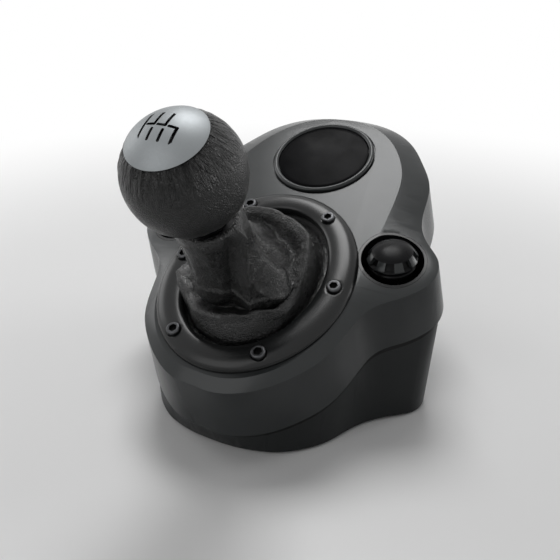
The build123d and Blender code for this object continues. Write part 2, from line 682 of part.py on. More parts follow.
# Clamps
knob_radius = 11.9
knob_height = 18.4
knob_rise = 7.6
knob_dome = 3.6
notch_count = 8
notch_radius = 2.35
notch_out = 0.8
cup_floor = 2.0
arm_width = 11.0
arm_depth = 11.0
arm_top = -26.0
jaw_thickness = 4.5
jaw_width = 13.0
jaw_reach = 14.0
jaw_inward = 7.0
thread_hold = 9.0
pad_thickness = 1.5
shoulder_radius = 5.5
for side, name in ((-1, "left"), (1, "right")):
    plane = clamp_plane(side)
    origin = plane.origin
    cup = turned(well_radius + cup_wall, well_depth + overrun, -well_depth, plane)
    cup -= turned(well_radius, well_depth + 2 * overrun, -well_depth + cup_floor, plane)
    cup -= turned(screw_diameter / 2 + slip_gap, well_depth + overrun, -well_depth - edge_round, plane)
    parts["knob_cup_" + name] = cup & upper_outer
    knob_low = knob_rise - knob_height
    knob = turned(knob_radius, knob_height, knob_low, plane)
    dome_radius = (knob_radius ** 2 + knob_dome ** 2) / (2 * knob_dome)
    knob &= plane * (Pos(0, 0, knob_rise - dome_radius) * Sphere(dome_radius)) + turned(
        knob_radius, knob_height - knob_dome, knob_low, plane)
    for i in range(notch_count):
        angle = 2 * pi * i / notch_count
        reach = knob_radius + notch_out
        knob -= turned(notch_radius, knob_height, knob_low, plane,
                       (reach * cos(angle), reach * sin(angle)))
    knob -= turned(bore_radius, knob_height / 2, knob_low, plane)
    parts["clamp_knob_" + name] = knob
    tip = plane.to_local_coords(Vector(origin.X, origin.Y, plate_top + jaw_thickness)).Z
    screw_low = arm_top - clamp_travel - thread_hold
    screw = turned(screw_diameter / 2, knob_low + knob_height / 2 - screw_low, screw_low, plane)
    screw += turned(shoulder_radius, edge_round, -well_depth + cup_floor + slip_gap, plane)
    parts["clamp_screw_" + name] = screw
    arm = plane * (Pos(0, 0, (arm_top + tip) / 2) * Box(arm_width, arm_depth, arm_top - tip))
    below = Pos(0, 0, foot_height - body_width) * Box(4 * body_width, 4 * body_width,
                                                      2 * body_width)
    long_arm = plane * (Pos(0, 0, tip) * Box(arm_width, arm_depth, 2 * arm_depth))
    arm += long_arm - below
    arm -= turned(screw_diameter / 2 + fit_gap, arm_top - screw_low + overrun,
                  screw_low - edge_round, plane)
    foot_y = plane.from_local_coords(Vector(0, 0, tip)).Y
    jaw_x = origin.X - side * (jaw_inward + (jaw_width - arm_width) / 2)
    jaw = Pos(jaw_x, foot_y + jaw_reach / 2, foot_height + jaw_thickness / 2) * Box(
        jaw_width, jaw_reach, jaw_thickness)
    arm += jaw
    parts["clamp_arm_" + name] = arm - below
    pad_y = foot_y + arm_depth / 2 + jaw_reach / 4 + 2 * edge_round
    parts["clamp_pad_" + name] = Pos(jaw_x, pad_y + edge_round, foot_height + jaw_thickness
                                     + pad_thickness / 2) * Box(jaw_width - edge_round,
                                                                jaw_reach / 2, pad_thickness)
    room = 2 * edge_round
    slot_length = jaw_reach + arm_depth / 2 + plate_thickness + 3 * room
    slot = Pos(jaw_x, foot_y + jaw_reach / 2 - arm_depth / 4 + room, foot_height) * Box(
        jaw_width + room, slot_length, 4 * plate_thickness)
    arm_slot = Pos(origin.X, foot_y + edge_round, foot_height) * Box(
        arm_width + room, arm_depth + plate_thickness + 2 * room, 4 * plate_thickness)
    base_plate -= slot + arm_slot

# Circuit board, sensors and the cable gland
board_width = 60.0
board_depth = 34.0
board_thickness = 1.6
board_height = 12.0
board_place_share = 0.54
board_y = ring_y + base_length * board_place_share
pillar_radius = 3.0
board = Pos(0, board_y, board_height + board_thickness / 2) * Box(board_width, board_depth,
                                                                  board_thickness)
chip_size = 9.0
chip_height = 1.2
board += Pos(0, board_y, board_height + board_thickness + chip_height / 2) * Box(
    chip_size, chip_size, chip_height)
for side in (-1, 1):
    for end in (-1, 1):
        x = side * (board_width / 2 - pillar_radius)
        y = board_y + end * (board_depth / 2 - pillar_radius)
        base_plate += Pos(x, y, (plate_top + board_height) / 2) * Cylinder(
            pillar_radius, board_height - plate_top)

sensor_size = 10.0
sensor_thickness = 3.0
sensor_face = frame_half_depth + edge_round + slip_gap
select_sensor = lever_box(sensor_size, sensor_thickness, -sensor_size / 2, sensor_size / 2, 0,
                          sensor_face + sensor_thickness / 2)
bracket_width = 2.0
for side in (-1, 1):
    chassis += lever_box(bracket_width, sensor_face + sensor_thickness - frame_half_depth,
                         -sensor_size / 2, sensor_size / 2,
                         side * (sensor_size + bracket_width) / 2,
                         (sensor_face + sensor_thickness + frame_half_depth) / 2)
shift_sensor = lever_box(sensor_thickness / 2, sensor_size - edge_round, -yoke_half_height,
                         yoke_half_height, yoke_width / 2 + sensor_thickness / 4, 0)

gland_radius = 4.5
gland_bore = 2.6
gland_height = 24.0
gland_out = 5.0
gland_in = 6.0
rear_y = ring_y - base_front_reach + base_length
gland_plane = Plane(origin=(0, rear_y, gland_height), x_dir=(1, 0, 0), z_dir=(0, 1, 0))
gland = turned(gland_radius, gland_out + gland_in, -gland_in, gland_plane)
gland += turned(gland_radius + edge_round, gland_out, 0, gland_plane) - lower_outer
gland -= turned(gland_bore, 2 * (gland_out + gland_in), -gland_in - gland_out, gland_plane)
lower_shell -= turned(gland_radius + fit_gap, 2 * (gland_out + gland_in), -gland_in - gland_out,
                      gland_plane)

parts.update(
    upper_shell=upper_shell, lower_shell=lower_shell, base_plate=base_plate,
    boot_ring=boot_ring, boot_retainer=retainer, badge_bezel=bezel, badge_disc=badge,
    chassis=chassis, gate_plate=gate_plate, select_yoke=yoke, shift_axle=axle, lever_hub=hub,
    gate_finger=finger, shift_shaft=shaft, return_spring=return_spring, knob_core=knob_core,
    knob_cover=knob_cover, knob_collar=knob_collar, knob_cap=knob_cap, boot_skirt=boot_skirt,
    boot_cuff=boot_cuff, boot_band=band, circuit_board=board, select_sensor=select_sensor,
    shift_sensor=shift_sensor, cable_gland=gland)
groups = dict(ring_screws=screws, shell_screws=tie_screws, plate_screws=plate_screws,
              rubber_feet=feet, thread_inserts=inserts, chassis_screws=chassis_screws,
              gate_screws=gate_screws, select_pins=pins)
for name, solids in groups.items():
    parts[name] = Compound(children=[s if isinstance(s, Solid) else s.solid() for s in solids])

os.makedirs("parts", exist_ok=True)
for name, shape in parts.items():
    export_step(shape, "parts/" + name + ".step")
    print(name, len(shape.solids()), round(shape.volume, 1))
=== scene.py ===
import json
from math import atan2, cos, degrees, exp, hypot, pi, radians, sin, sqrt

import bpy
from mathutils import Matrix, Vector, noise

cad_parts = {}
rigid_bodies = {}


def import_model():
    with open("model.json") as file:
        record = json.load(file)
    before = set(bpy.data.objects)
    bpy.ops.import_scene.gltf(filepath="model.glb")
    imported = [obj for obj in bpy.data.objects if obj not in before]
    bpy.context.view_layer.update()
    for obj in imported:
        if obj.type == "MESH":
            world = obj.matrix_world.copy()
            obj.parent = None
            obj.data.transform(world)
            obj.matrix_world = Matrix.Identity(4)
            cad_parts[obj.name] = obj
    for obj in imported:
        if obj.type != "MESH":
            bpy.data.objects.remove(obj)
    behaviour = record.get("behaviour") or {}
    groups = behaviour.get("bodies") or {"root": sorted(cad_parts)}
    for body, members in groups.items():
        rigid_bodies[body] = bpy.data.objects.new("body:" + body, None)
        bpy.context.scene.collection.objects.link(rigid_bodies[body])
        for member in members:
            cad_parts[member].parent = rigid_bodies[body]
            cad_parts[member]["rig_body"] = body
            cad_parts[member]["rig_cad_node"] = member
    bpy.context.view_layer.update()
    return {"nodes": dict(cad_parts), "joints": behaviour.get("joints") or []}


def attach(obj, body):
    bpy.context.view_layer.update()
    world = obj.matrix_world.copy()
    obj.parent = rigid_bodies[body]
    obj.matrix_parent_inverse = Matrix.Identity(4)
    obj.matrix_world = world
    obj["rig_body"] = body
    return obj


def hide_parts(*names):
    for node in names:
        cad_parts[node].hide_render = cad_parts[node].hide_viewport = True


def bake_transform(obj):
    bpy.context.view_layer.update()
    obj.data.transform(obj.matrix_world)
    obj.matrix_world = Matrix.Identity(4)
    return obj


bl_info = {
    "name": "Gear Shifter",
    "version": (1, 0, 0),
    "blender": (4, 5, 0),
    "location": "3D View > Sidebar > Shifter",
    "description": "Builds a desktop gear shifter with its boot, ball knob and clamp knobs",
    "category": "Add Mesh",
}

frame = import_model()
joints = {joint["name"]: joint for joint in frame["joints"]}

# Local frames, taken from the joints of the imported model
pivot = Vector(joints["select"]["pos_m"])
lever_axis = -Vector(joints["push"]["axis"])
deck_slope = radians(25.3)
pivot_forward = 0.010
pivot_depth = 0.030
seam_depth = 0.036
side_axis = Vector((1, 0, 0))
deck_rear = Vector((0, cos(deck_slope), sin(deck_slope)))
deck_normal = Vector((0, -sin(deck_slope), cos(deck_slope)))
ring_centre = pivot + pivot_forward * deck_rear + pivot_depth * deck_normal


def frame_matrix(origin, normal):
    """The matrix of a frame with x to the right and z along a normal."""
    rear = normal.cross(side_axis)
    turn = Matrix((side_axis, rear, normal)).transposed().to_4x4()
    return Matrix.Translation(origin) @ turn


deck_frame = frame_matrix(ring_centre, deck_normal)
lever_frame = frame_matrix(pivot, lever_axis)


def clamp_frame(side):
    """The frame of one clamp knob, at the wing surface."""
    joint = joints["clamp_turn_" + side]
    return frame_matrix(Vector(joint["pos_m"]), Vector(joint["axis"]))


def metres(name, description, default):
    """A size setting, in metres."""
    return bpy.props.FloatProperty(name=name, description=description, default=default,
                                   unit="LENGTH")


def paint(name, description, default):
    """A colour setting."""
    return bpy.props.FloatVectorProperty(name=name, description=description, default=default,
                                         subtype="COLOR", size=3, min=0, max=1)


class ShifterSizes(bpy.types.PropertyGroup):
    """Sizes of the visible pieces, in metres."""

    ball_diameter: metres("Ball diameter", "Diameter of the leather ball", 0.0476)
    ball_centre: metres("Ball centre", "Height of the ball's centre along the lever", 0.1066)
    cap_share: bpy.props.FloatProperty(
        name="Cap height share", default=0.75,
        description="Height of the metal cap's seat as a share of the ball's radius")
    cap_crown: metres("Cap crown", "Rise of the cap's crown", 0.00595)
    groove_width: metres("Groove width", "Width of the gear pattern's grooves", 0.00115)
    groove_depth: metres("Groove depth", "Depth of the gear pattern's grooves", 0.0007)
    ring_half_width: metres("Ring half width", "Half width of the boot ring", 0.0476)
    ring_half_length: metres("Ring half length", "Half length of the boot ring", 0.0546)
    opening_half_width: metres("Opening half width", "Half width of the ring's opening", 0.0330)
    opening_half_length: metres("Opening half length", "Half length of the ring's opening", 0.0422)
    ring_top: metres("Ring top", "Height of the ring's top over the screw plane", -0.0018)
    deck_height: metres("Deck height", "Height of the deck over the screw plane", -0.0060)
    badge_forward: metres("Disc place", "Distance of the disc behind the ring's centre", 0.0871)
    badge_radius: metres("Disc radius", "Radius of the glossy disc", 0.0246)
    bezel_radius: metres("Bezel radius", "Outer radius of the disc's bezel", 0.0277)
    knob_radius: metres("Clamp knob radius", "Radius of a clamp knob", 0.0119)
    leather: metres("Leather", "Thickness of the boot's leather", 0.0011)


class ShifterColours(bpy.types.PropertyGroup):
    """Colours of the visible finishes."""

    case: paint("Case", "Satin grey of the case", (0.029, 0.0315, 0.0322))
    # The lower case's darker grey is partly its own tone and partly painted shade, for the light that
    # falls off towards the bottom of the case.
    lower_case: paint("Lower case", "Darker grey of the lower case", (0.017, 0.0185, 0.0189))
    ring: paint("Ring", "Satin black of the boot ring", (0.0078, 0.0084, 0.0086))
    leather: paint("Leather", "Black leather of the boot and the ball", (0.0070, 0.0074, 0.0074))
    gloss: paint("Gloss", "Glossy black of the disc and the clamp knobs", (0.004, 0.004, 0.0045))
    cap: paint("Cap", "Satin metal of the knob's cap", (0.20, 0.212, 0.218))
    floor: paint("Floor", "Pale floor", (0.80, 0.80, 0.80))


def sizes():
    """The size settings of the scene."""
    return bpy.context.scene.shifter_sizes


def colours():
    """The colour settings of the scene."""
    return bpy.context.scene.shifter_colours


# Modelling helpers

def deselect():
    """Clears the selection, which the loaded nodes start with."""
    for obj in bpy.context.view_layer.objects:
        obj.select_set(False)


def activate(obj):
    """Makes one object the only selected one."""
    deselect()
    obj.select_set(True)
    bpy.context.view_layer.objects.active = obj


def place(obj, matrix):
    """Moves a piece that was modelled about the origin into its place, in its mesh."""
    activate(obj)
    obj.matrix_world = matrix
    bpy.ops.object.transform_apply(location=True, rotation=True, scale=True)


def duplicate(obj, name):
    """A copy of a piece with its own mesh, in the scene."""
    twin = obj.copy()
    twin.data = obj.data.copy()
    twin.name = name
    bpy.context.scene.collection.objects.link(twin)
    return twin


def edit_all():
    """Goes into edit mode with the whole mesh selected."""
    bpy.ops.object.mode_set(mode="EDIT")
    bpy.ops.mesh.select_all(action="SELECT")


def pick_faces(obj, test):
    """Selects the faces whose middle passes a test, in edit mode."""
    bpy.ops.mesh.select_all(action="DESELECT")
    bpy.ops.object.mode_set(mode="OBJECT")
    for polygon in obj.data.polygons:
        polygon.select = test(polygon.center)
    bpy.ops.object.mode_set(mode="EDIT")


def recalculate(obj):
    """Merges doubles and turns all the faces outwards."""
    activate(obj)
    edit_all()
    bpy.ops.mesh.remove_doubles(threshold=1e-6)
    bpy.ops.mesh.normals_make_consistent(inside=False)
    bpy.ops.object.mode_set(mode="OBJECT")


def smooth(obj, angle):
    """Smooth shading with sharp edges beyond an angle."""
    activate(obj)
    bpy.ops.object.shade_smooth_by_angle(angle=radians(angle))


def modify(obj, kind, **settings):
    """Adds a modifier and applies it."""
    activate(obj)
    modifier = obj.modifiers.new(kind.title(), kind)
    for key, value in settings.items():
        setattr(modifier, key, value)
    bpy.ops.object.modifier_apply(modifier=modifier.name)


def round_edges(obj, width, angle):
    """A narrow bevel on every edge sharper than an angle."""
    modify(obj, "BEVEL", width=width, segments=2, limit_method="ANGLE",
           angle_limit=radians(angle))


def draw_on(rise, ratios, height, closed):
    """Draws the selected ring on by a rise, and resizes it each way at its new height."""
    if closed:
        bpy.ops.mesh.extrude_region_move()
    else:
        bpy.ops.mesh.extrude_edges_move()
    bpy.ops.transform.translate(value=(0, 0, rise))
    bpy.ops.transform.resize(value=(*ratios, 1), center_override=(0, 0, height))


def drawn_up(name, profile, sides, closed=True):
    """A round piece about z, drawn from one (radius, height) ring to the next.

    A closed one starts and ends in a cap, an open one returns to its first ring.
    """
    deselect()
    radius, height = profile[0]
    fill = "NGON" if closed else "NOTHING"
    bpy.ops.mesh.primitive_circle_add(vertices=sides, radius=radius, fill_type=fill,
                                      location=(0, 0, height))
    obj = bpy.context.object
    obj.name = name
    bpy.ops.object.transform_apply(location=True)
    edit_all()
    rings = list(profile[1:]) + ([] if closed else [profile[0]])
    for next_radius, next_height in rings:
        ratio = next_radius / radius
        draw_on(next_height - height, (ratio, ratio), next_height, closed)
        radius, height = next_radius, next_height
    bpy.ops.object.mode_set(mode="OBJECT")
    recalculate(obj)
    return obj


def limited(value):
    """A value held between 0 and 1."""
    return min(1, max(0, value))


def arc(centre_radius, centre_height, radius, start, end, steps):
    """Profile points on an arc, angles in degrees from the outward direction."""
    points = []
    for i in range(steps + 1):
        angle = radians(start + (end - start) * i / steps)
        points.append((centre_radius + radius * cos(angle), centre_height + radius * sin(angle)))
    return points


def dressed_copy(node, name):
    """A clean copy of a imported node, with its loose triangles merged into flat faces."""
    obj = duplicate(frame["nodes"][node], name)
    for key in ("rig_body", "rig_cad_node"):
        if key in obj:
            del obj[key]
    obj.parent = None
    obj.data.materials.clear()
    activate(obj)
    bpy.ops.mesh.customdata_custom_splitnormals_clear()
    edit_all()
    bpy.ops.mesh.remove_doubles(threshold=1e-5)
    bpy.ops.mesh.dissolve_limited(angle_limit=radians(0.3))
    bpy.ops.object.mode_set(mode="OBJECT")
    return obj


def finish_piece(obj, body, finish, slot, *nodes):
    """Gives a piece its finish and its body, and hides the nodes that it stands for."""
    obj.data.materials.clear()
    obj.data.materials.append(finishes[finish])
    if body:
        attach(obj, body)
    if nodes:
        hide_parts(*nodes)


def second_finish(obj, local_frame, finish, test):
    """Gives another finish to the faces whose middle, in a local frame, passes a test."""
    obj.data.materials.append(finishes[finish])
    to_local = local_frame.inverted()
    for polygon in obj.data.polygons:
        polygon.material_index = int(test(to_local @ polygon.center))


# Finishes

def base_material(name, colour, roughness, metallic=0.0, sheen=0.5):
    """A material with its colour, roughness, share of metal and strength of reflection set."""
    material = bpy.data.materials.new(name)
    material.use_nodes = True
    inputs = material.node_tree.nodes["Principled BSDF"].inputs
    inputs["Base Color"].default_value = (*colour, 1)
    inputs["Roughness"].default_value = roughness
    inputs["Metallic"].default_value = metallic
    inputs["Specular IOR Level"].default_value = sheen
    return material


def object_coordinates(tree):
    """The socket of the object coordinates."""
    return tree.nodes.new("ShaderNodeTexCoord").outputs["Object"]


def noise_node(material, scale, detail, stretch=None):
    """A noise texture on object coordinates, optionally stretched."""
    tree = material.node_tree
    texture = tree.nodes.new("ShaderNodeTexNoise")
    texture.inputs["Scale"].default_value = scale
    texture.inputs["Detail"].default_value = detail
    source = object_coordinates(tree)
    if stretch:
        mapping = tree.nodes.new("ShaderNodeMapping")
        mapping.inputs["Scale"].default_value = stretch
        tree.links.new(source, mapping.inputs["Vector"])
        source = mapping.outputs["Vector"]
    tree.links.new(source, texture.inputs["Vector"])
    return texture


def stretched(tree, value, low, high, new_low=0.0, new_high=1.0, soft=False):
    """A socket with a value's range from low to high stretched onto a new range."""
    spread = tree.nodes.new("ShaderNodeMapRange")
    spread.inputs["From Min"].default_value = low
    spread.inputs["From Max"].default_value = high
    spread.inputs["To Min"].default_value = new_low
    spread.inputs["To Max"].default_value = new_high
    if soft:
        spread.interpolation_type = "SMOOTHSTEP"
    tree.links.new(value, spread.inputs["Value"])
    return spread.outputs["Result"]


def maths(tree, kind, operation, *values):
    """The outputs of a maths node on sockets or plain values, in the order of its inputs."""
    node = tree.nodes.new(kind)
    node.operation = operation
    for entry, value in zip(node.inputs, values):
        if isinstance(value, bpy.types.NodeSocket):
            tree.links.new(value, entry)
        else:
            entry.default_value = value
    return node.outputs


def two_tones(material, value, colour, dark, light, low=0.0, high=1.0):
    """Varies the base colour from a darker to a lighter tone, as a value goes from low to high."""
    tree = material.node_tree
    ramp = tree.nodes.new("ShaderNodeValToRGB")
    for stop, factor, position in zip(ramp.color_ramp.elements, (dark, light), (low, high)):
        stop.position = position
        stop.color = (*tone(colour, factor), 1)
    tree.links.new(value, ramp.inputs["Fac"])
    tree.links.new(ramp.outputs["Color"], tree.nodes["Principled BSDF"].inputs["Base Color"])


def colour_variation(material, texture, colour, dark, light):
    """Varies the base colour softly between two of its tones by a texture."""
    two_tones(material, texture.outputs["Fac"], colour, dark, light, 0.35, 0.65)


def roughness_variation(material, texture, low, high):
    """Varies the roughness between two values by a texture."""
    tree = material.node_tree
    roughness = stretched(tree, texture.outputs["Fac"], 0.3, 0.7, low, high)
    tree.links.new(roughness, tree.nodes["Principled BSDF"].inputs["Roughness"])


def bump(material, height_socket, distance, strength=1.0):
    """Adds a bump from a height, on top of any bump that is there."""
    tree = material.node_tree
    shader = tree.nodes["Principled BSDF"]
    node = tree.nodes.new("ShaderNodeBump")
    node.inputs["Distance"].default_value = distance
    node.inputs["Strength"].default_value = strength
    tree.links.new(height_socket, node.inputs["Height"])
    if shader.inputs["Normal"].links:
        tree.links.new(shader.inputs["Normal"].links[0].from_socket, node.inputs["Normal"])
    tree.links.new(node.outputs["Normal"], shader.inputs["Normal"])


def tone(colour, factor):
    """A colour made darker or lighter."""
    return tuple(min(1, channel * factor) for channel in colour)


def satin_plastic(name, colour, roughness, grain_scale=2600, grain_depth=0.00002, metallic=0.0,
                  sheen=0.5):
    """Moulded plastic with a fine even grain and faint cloudiness."""
    material = base_material(name, colour, roughness, metallic, sheen)
    clouds = noise_node(material, 45, 3)
    colour_variation(material, clouds, colour, 0.94, 1.06)
    scuffs = noise_node(material, 160, 4)
    roughness_variation(material, scuffs, roughness - 0.007, roughness + 0.01)
    grain = noise_node(material, grain_scale, 2)
    bump(material, grain.outputs["Fac"], grain_depth, 0.6)
    return material


def leather_material(name, colour, roughness, sheen, cell_scale, crease_depth=0.00024):
    """Pebbled leather: rounded cells with creases between them, with painted shade that makes the
    creases dark and the domes lighter.
    """
    material = base_material(name, colour, roughness, sheen=sheen)
    tree = material.node_tree
    warp = noise_node(material, cell_scale * 0.35, 2)
    warped = maths(tree, "ShaderNodeVectorMath", "MULTIPLY_ADD", warp.outputs["Color"],
                   (0.0012, 0.0012, 0.0012), object_coordinates(tree))
    cells = tree.nodes.new("ShaderNodeTexVoronoi")
    cells.feature = "DISTANCE_TO_EDGE"
    cells.inputs["Scale"].default_value = cell_scale
    tree.links.new(warped["Vector"], cells.inputs["Vector"])
    domes = stretched(tree, cells.outputs["Distance"], 0.0, 0.22, soft=True)
    # Painted shade: the creases between the cells are coloured darker and the domes' tops lighter.
    two_tones(material, domes, colour, 0.55, 1.15)
    wear = noise_node(material, 90, 4)
    roughness_variation(material, wear, roughness - 0.08, roughness + 0.08)
    bump(material, domes, crease_depth, 0.8)
    fine = noise_node(material, cell_scale * 4, 2)
    bump(material, fine.outputs["Fac"], crease_depth * 0.25, 0.5)
    return material


def brushed_metal(name, colour, roughness, stretch):
    """Satin metal with fine lines along one direction."""
    material = base_material(name, colour, roughness, 1.0)
    lines = noise_node(material, 900, 3, stretch)
    roughness_variation(material, lines, roughness - 0.05, roughness + 0.07)
    bump(material, lines.outputs["Fac"], 0.00001, 0.5)
    haze = noise_node(material, 60, 3)
    colour_variation(material, haze, colour, 0.95, 1.04)
    return material


def gloss_plastic(name, colour, roughness, sheen):
    """Polished plastic with a faint unevenness."""
    material = base_material(name, colour, roughness, sheen=sheen)
    waves = noise_node(material, 70, 2)
    roughness_variation(material, waves, roughness * 0.7, roughness * 1.4)
    tint = noise_node(material, 30, 2)
    colour_variation(material, tint, colour, 0.9, 1.2)
    return material


def seam_shadow(material, level, width, fade, dark_share):
    """Darkens a strip under a level on the deck's slope, for the shade in the seam."""
    tree = material.node_tree
    colour = tree.nodes["Principled BSDF"].inputs["Base Color"]
    height = maths(tree, "ShaderNodeVectorMath", "DOT_PRODUCT", object_coordinates(tree),
                   deck_normal)
    start = level - width
    share = stretched(tree, height["Value"], start - fade, start, 1.0, dark_share)
    darken = tree.nodes.new("ShaderNodeVectorMath")
    darken.operation = "SCALE"
    tree.links.new(colour.links[0].from_socket, darken.inputs[0])
    tree.links.new(share, darken.inputs["Scale"])
    tree.links.new(darken.outputs["Vector"], colour)


def gathers(material, depth):
    """Adds fine wrinkles that run along the piece's own pull lines, where its pull is strong."""
    tree = material.node_tree
    lines = tree.nodes.new("ShaderNodeAttribute")
    lines.attribute_name = "pull_lines"
    strength = tree.nodes.new("ShaderNodeAttribute")
    strength.attribute_name = "pull"
    texture = tree.nodes.new("ShaderNodeTexNoise")
    texture.inputs["Scale"].default_value = 1.0
    texture.inputs["Detail"].default_value = 3
    texture.inputs["Distortion"].default_value = 0.6
    tree.links.new(lines.outputs["Vector"], texture.inputs["Vector"])
    wrinkles = stretched(tree, texture.outputs["Fac"], 0.36, 0.60, soft=True)
    drawn = maths(tree, "ShaderNodeMath", "MULTIPLY", wrinkles, strength.outputs["Fac"])
    bump(material, drawn["Value"], depth)


def set_pull(obj, lines, pull):
    """Stores the pull lines and their strength on each vertex of a piece."""
    spots = [vertex.co.copy() for vertex in obj.data.vertices]
    obj.data.attributes.new("pull_lines", "FLOAT_VECTOR", "POINT")
    obj.data.attributes.new("pull", "FLOAT", "POINT")
    for i, spot in enumerate(spots):
        obj.data.attributes["pull_lines"].data[i].vector = lines(spot)
        obj.data.attributes["pull"].data[i].value = pull(spot)


finishes = {}

# Colours of the small parts' finishes
# Near-black, painted shade for the hollows of the cap's grooves and the screw sockets
hollow_shade_black = (0.005, 0.005, 0.005)
oxide_black = (0.06, 0.061, 0.064)
steel_grey = (0.50, 0.51, 0.53)
zinc_white = (0.62, 0.61, 0.58)
brass_yellow = (0.65, 0.47, 0.20)
nylon_black = (0.035, 0.035, 0.038)
rubber_black = (0.018, 0.018, 0.018)
board_green = (0.02, 0.12, 0.05)


def make_finishes():
    """Makes every finish once, each from its name, its colour and its roughness."""
    tones = colours()
    finishes["case"] = satin_plastic("case_satin_grey_and_tab_highlight", tones.case, 0.25, metallic=0.12, sheen=0.27)
    # Besides its own tone, the lower case's grey holds painted shade for the light falling off
    # towards the bottom.
    finishes["lower_case"] = satin_plastic("lower_case_grey_and_painted_shade", tones.lower_case, 0.40, sheen=0.16)
    seam_level = deck_normal.dot(ring_centre) - seam_depth
    seam_shadow(finishes["lower_case"], seam_level, width=0.0025, fade=0.0003, dark_share=0.02)
    finishes["ring"] = satin_plastic("ring_satin_black", tones.ring, 0.25, grain_depth=0.000012,
                                     sheen=0.28)
    finishes["gloss"] = gloss_plastic("gloss_black", tones.gloss, 0.27, sheen=0.08)
    finishes["disc"] = gloss_plastic("disc_gloss_black", tones.gloss, 0.24, sheen=0.014)
    finishes["ball_leather"] = leather_material("ball_leather", tones.leather, 0.33, sheen=0.35,
                                                cell_scale=1050)
    gathers(finishes["ball_leather"], depth=0.0018)
    finishes["boot_leather"] = leather_material("boot_leather", tones.leather, 0.32, sheen=0.45,
                                                cell_scale=950)
    gathers(finishes["boot_leather"], depth=0.0002)
    finishes["cap"] = brushed_metal("cap_satin_metal", tones.cap, 0.50, (1, 14, 1))
    # Painted shade for the hollows of the grooves and sockets
    finishes["hollow_shade"] = satin_plastic("painted_hollow_shade", hollow_shade_black, 0.7, sheen=0.05)
    finishes["screw"] = brushed_metal("screw_black_oxide", oxide_black, 0.34, (1, 1, 6))
    finishes["steel"] = brushed_metal("steel_machined", steel_grey, 0.32, (8, 1, 1))
    finishes["zinc"] = brushed_metal("zinc_plated", zinc_white, 0.36, (1, 5, 1))
    finishes["brass"] = brushed_metal("brass_machined", brass_yellow, 0.33, (1, 1, 8))
    finishes["nylon"] = satin_plastic("glass_filled_nylon", nylon_black, 0.6,
                                      grain_scale=1800, grain_depth=0.00003)
    finishes["rubber"] = satin_plastic("black_rubber", rubber_black, 0.78,
                                       grain_scale=1500, grain_depth=0.00003)
    finishes["board"] = satin_plastic("solder_resist", board_green, 0.35, grain_scale=900)


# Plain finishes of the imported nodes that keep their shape
node_finishes = {
    "base_plate": "lower_case", "boot_retainer": "nylon", "chassis": "nylon", "gate_plate": "steel",
    "select_yoke": "nylon", "shift_axle": "steel", "lever_hub": "nylon", "gate_finger": "steel",
    "shift_shaft": "steel", "return_spring": "steel", "knob_core": "nylon", "boot_band": "nylon",
    "circuit_board": "board", "select_sensor": "nylon", "shift_sensor": "nylon",
    "cable_gland": "rubber", "clamp_screw_left": "steel", "clamp_screw_right": "steel",
    "clamp_arm_left": "nylon", "clamp_arm_right": "nylon", "clamp_pad_left": "rubber",
    "clamp_pad_right": "rubber", "shell_screws": "zinc", "plate_screws": "zinc",
    "rubber_feet": "rubber", "thread_inserts": "brass", "chassis_screws": "zinc",
    "gate_screws": "zinc", "select_pins": "steel"}


class SHIFTER_OT_finishes(bpy.types.Operator):
    """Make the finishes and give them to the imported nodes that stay"""

    bl_idname = "shifter.finishes"
    bl_label = "Finishes"

    def execute(self, context):
        make_finishes()
        for node, finish in node_finishes.items():
            data = frame["nodes"][node].data
            data.materials.clear()
            data.materials.append(finishes[finish])
        return {"FINISHED"}


def bevel_outer_edges(obj, width, segments, test, least=9, most=80):
    """Rounds the outward edges whose two faces meet at an angle in a range."""
    activate(obj)
    mesh = obj.data
    faces_of = {}
    for polygon in mesh.polygons:
        for key in polygon.edge_keys:
            faces_of.setdefault(key, []).append(polygon)
    bpy.ops.object.mode_set(mode="EDIT")
    bpy.ops.mesh.select_mode(type="EDGE")
    bpy.ops.mesh.select_all(action="DESELECT")
    bpy.ops.object.mode_set(mode="OBJECT")
    for edge in mesh.edges:
        pair = faces_of.get(edge.key, [])
        edge.select = False
        if len(pair) != 2:
            continue
        angle = degrees(pair[0].normal.angle(pair[1].normal))
        middle = (mesh.vertices[edge.vertices[0]].co + mesh.vertices[edge.vertices[1]].co) / 2
        normal = (pair[0].normal + pair[1].normal).normalized()
        edge.select = least < angle < most and test(middle, normal)
    bpy.ops.object.mode_set(mode="EDIT")
    bpy.ops.mesh.bevel(offset=width, segments=segments, clamp_overlap=True)
    bpy.ops.mesh.select_mode(type="VERT")
    bpy.ops.object.mode_set(mode="OBJECT")


case_middle = Vector((0, 0.012, 0.045))


def faces_out(middle, normal):
    """Whether a place on the case belongs to its outer skin."""
    return normal.dot(middle - case_middle) > 0


class SHIFTER_OT_case_top(bpy.types.Operator):
    """Build the upper case, with its crease and its crisp rim softened"""

    bl_idname = "shifter.case_top"
    bl_label = "Upper case"

    def execute(self, context):
        obj = dressed_copy("upper_shell", "case_top")
        bevel_outer_edges(obj, width=0.0007, segments=3, test=faces_out)
        smooth(obj, 28)
        finish_piece(obj, "base", "case", "shell_grey", "upper_shell")
        return {"FINISHED"}


class SHIFTER_OT_case_bottom(bpy.types.Operator):
    """Build the lower case, with a softened seam and foot line"""

    bl_idname = "shifter.case_bottom"
    bl_label = "Lower case"

    def execute(self, context):
        obj = dressed_copy("lower_shell", "case_bottom")
        bevel_outer_edges(obj, width=0.0006, segments=2, test=faces_out)
        smooth(obj, 28)
        finish_piece(obj, "base", "lower_case", "shell_black", "lower_shell")
        return {"FINISHED"}


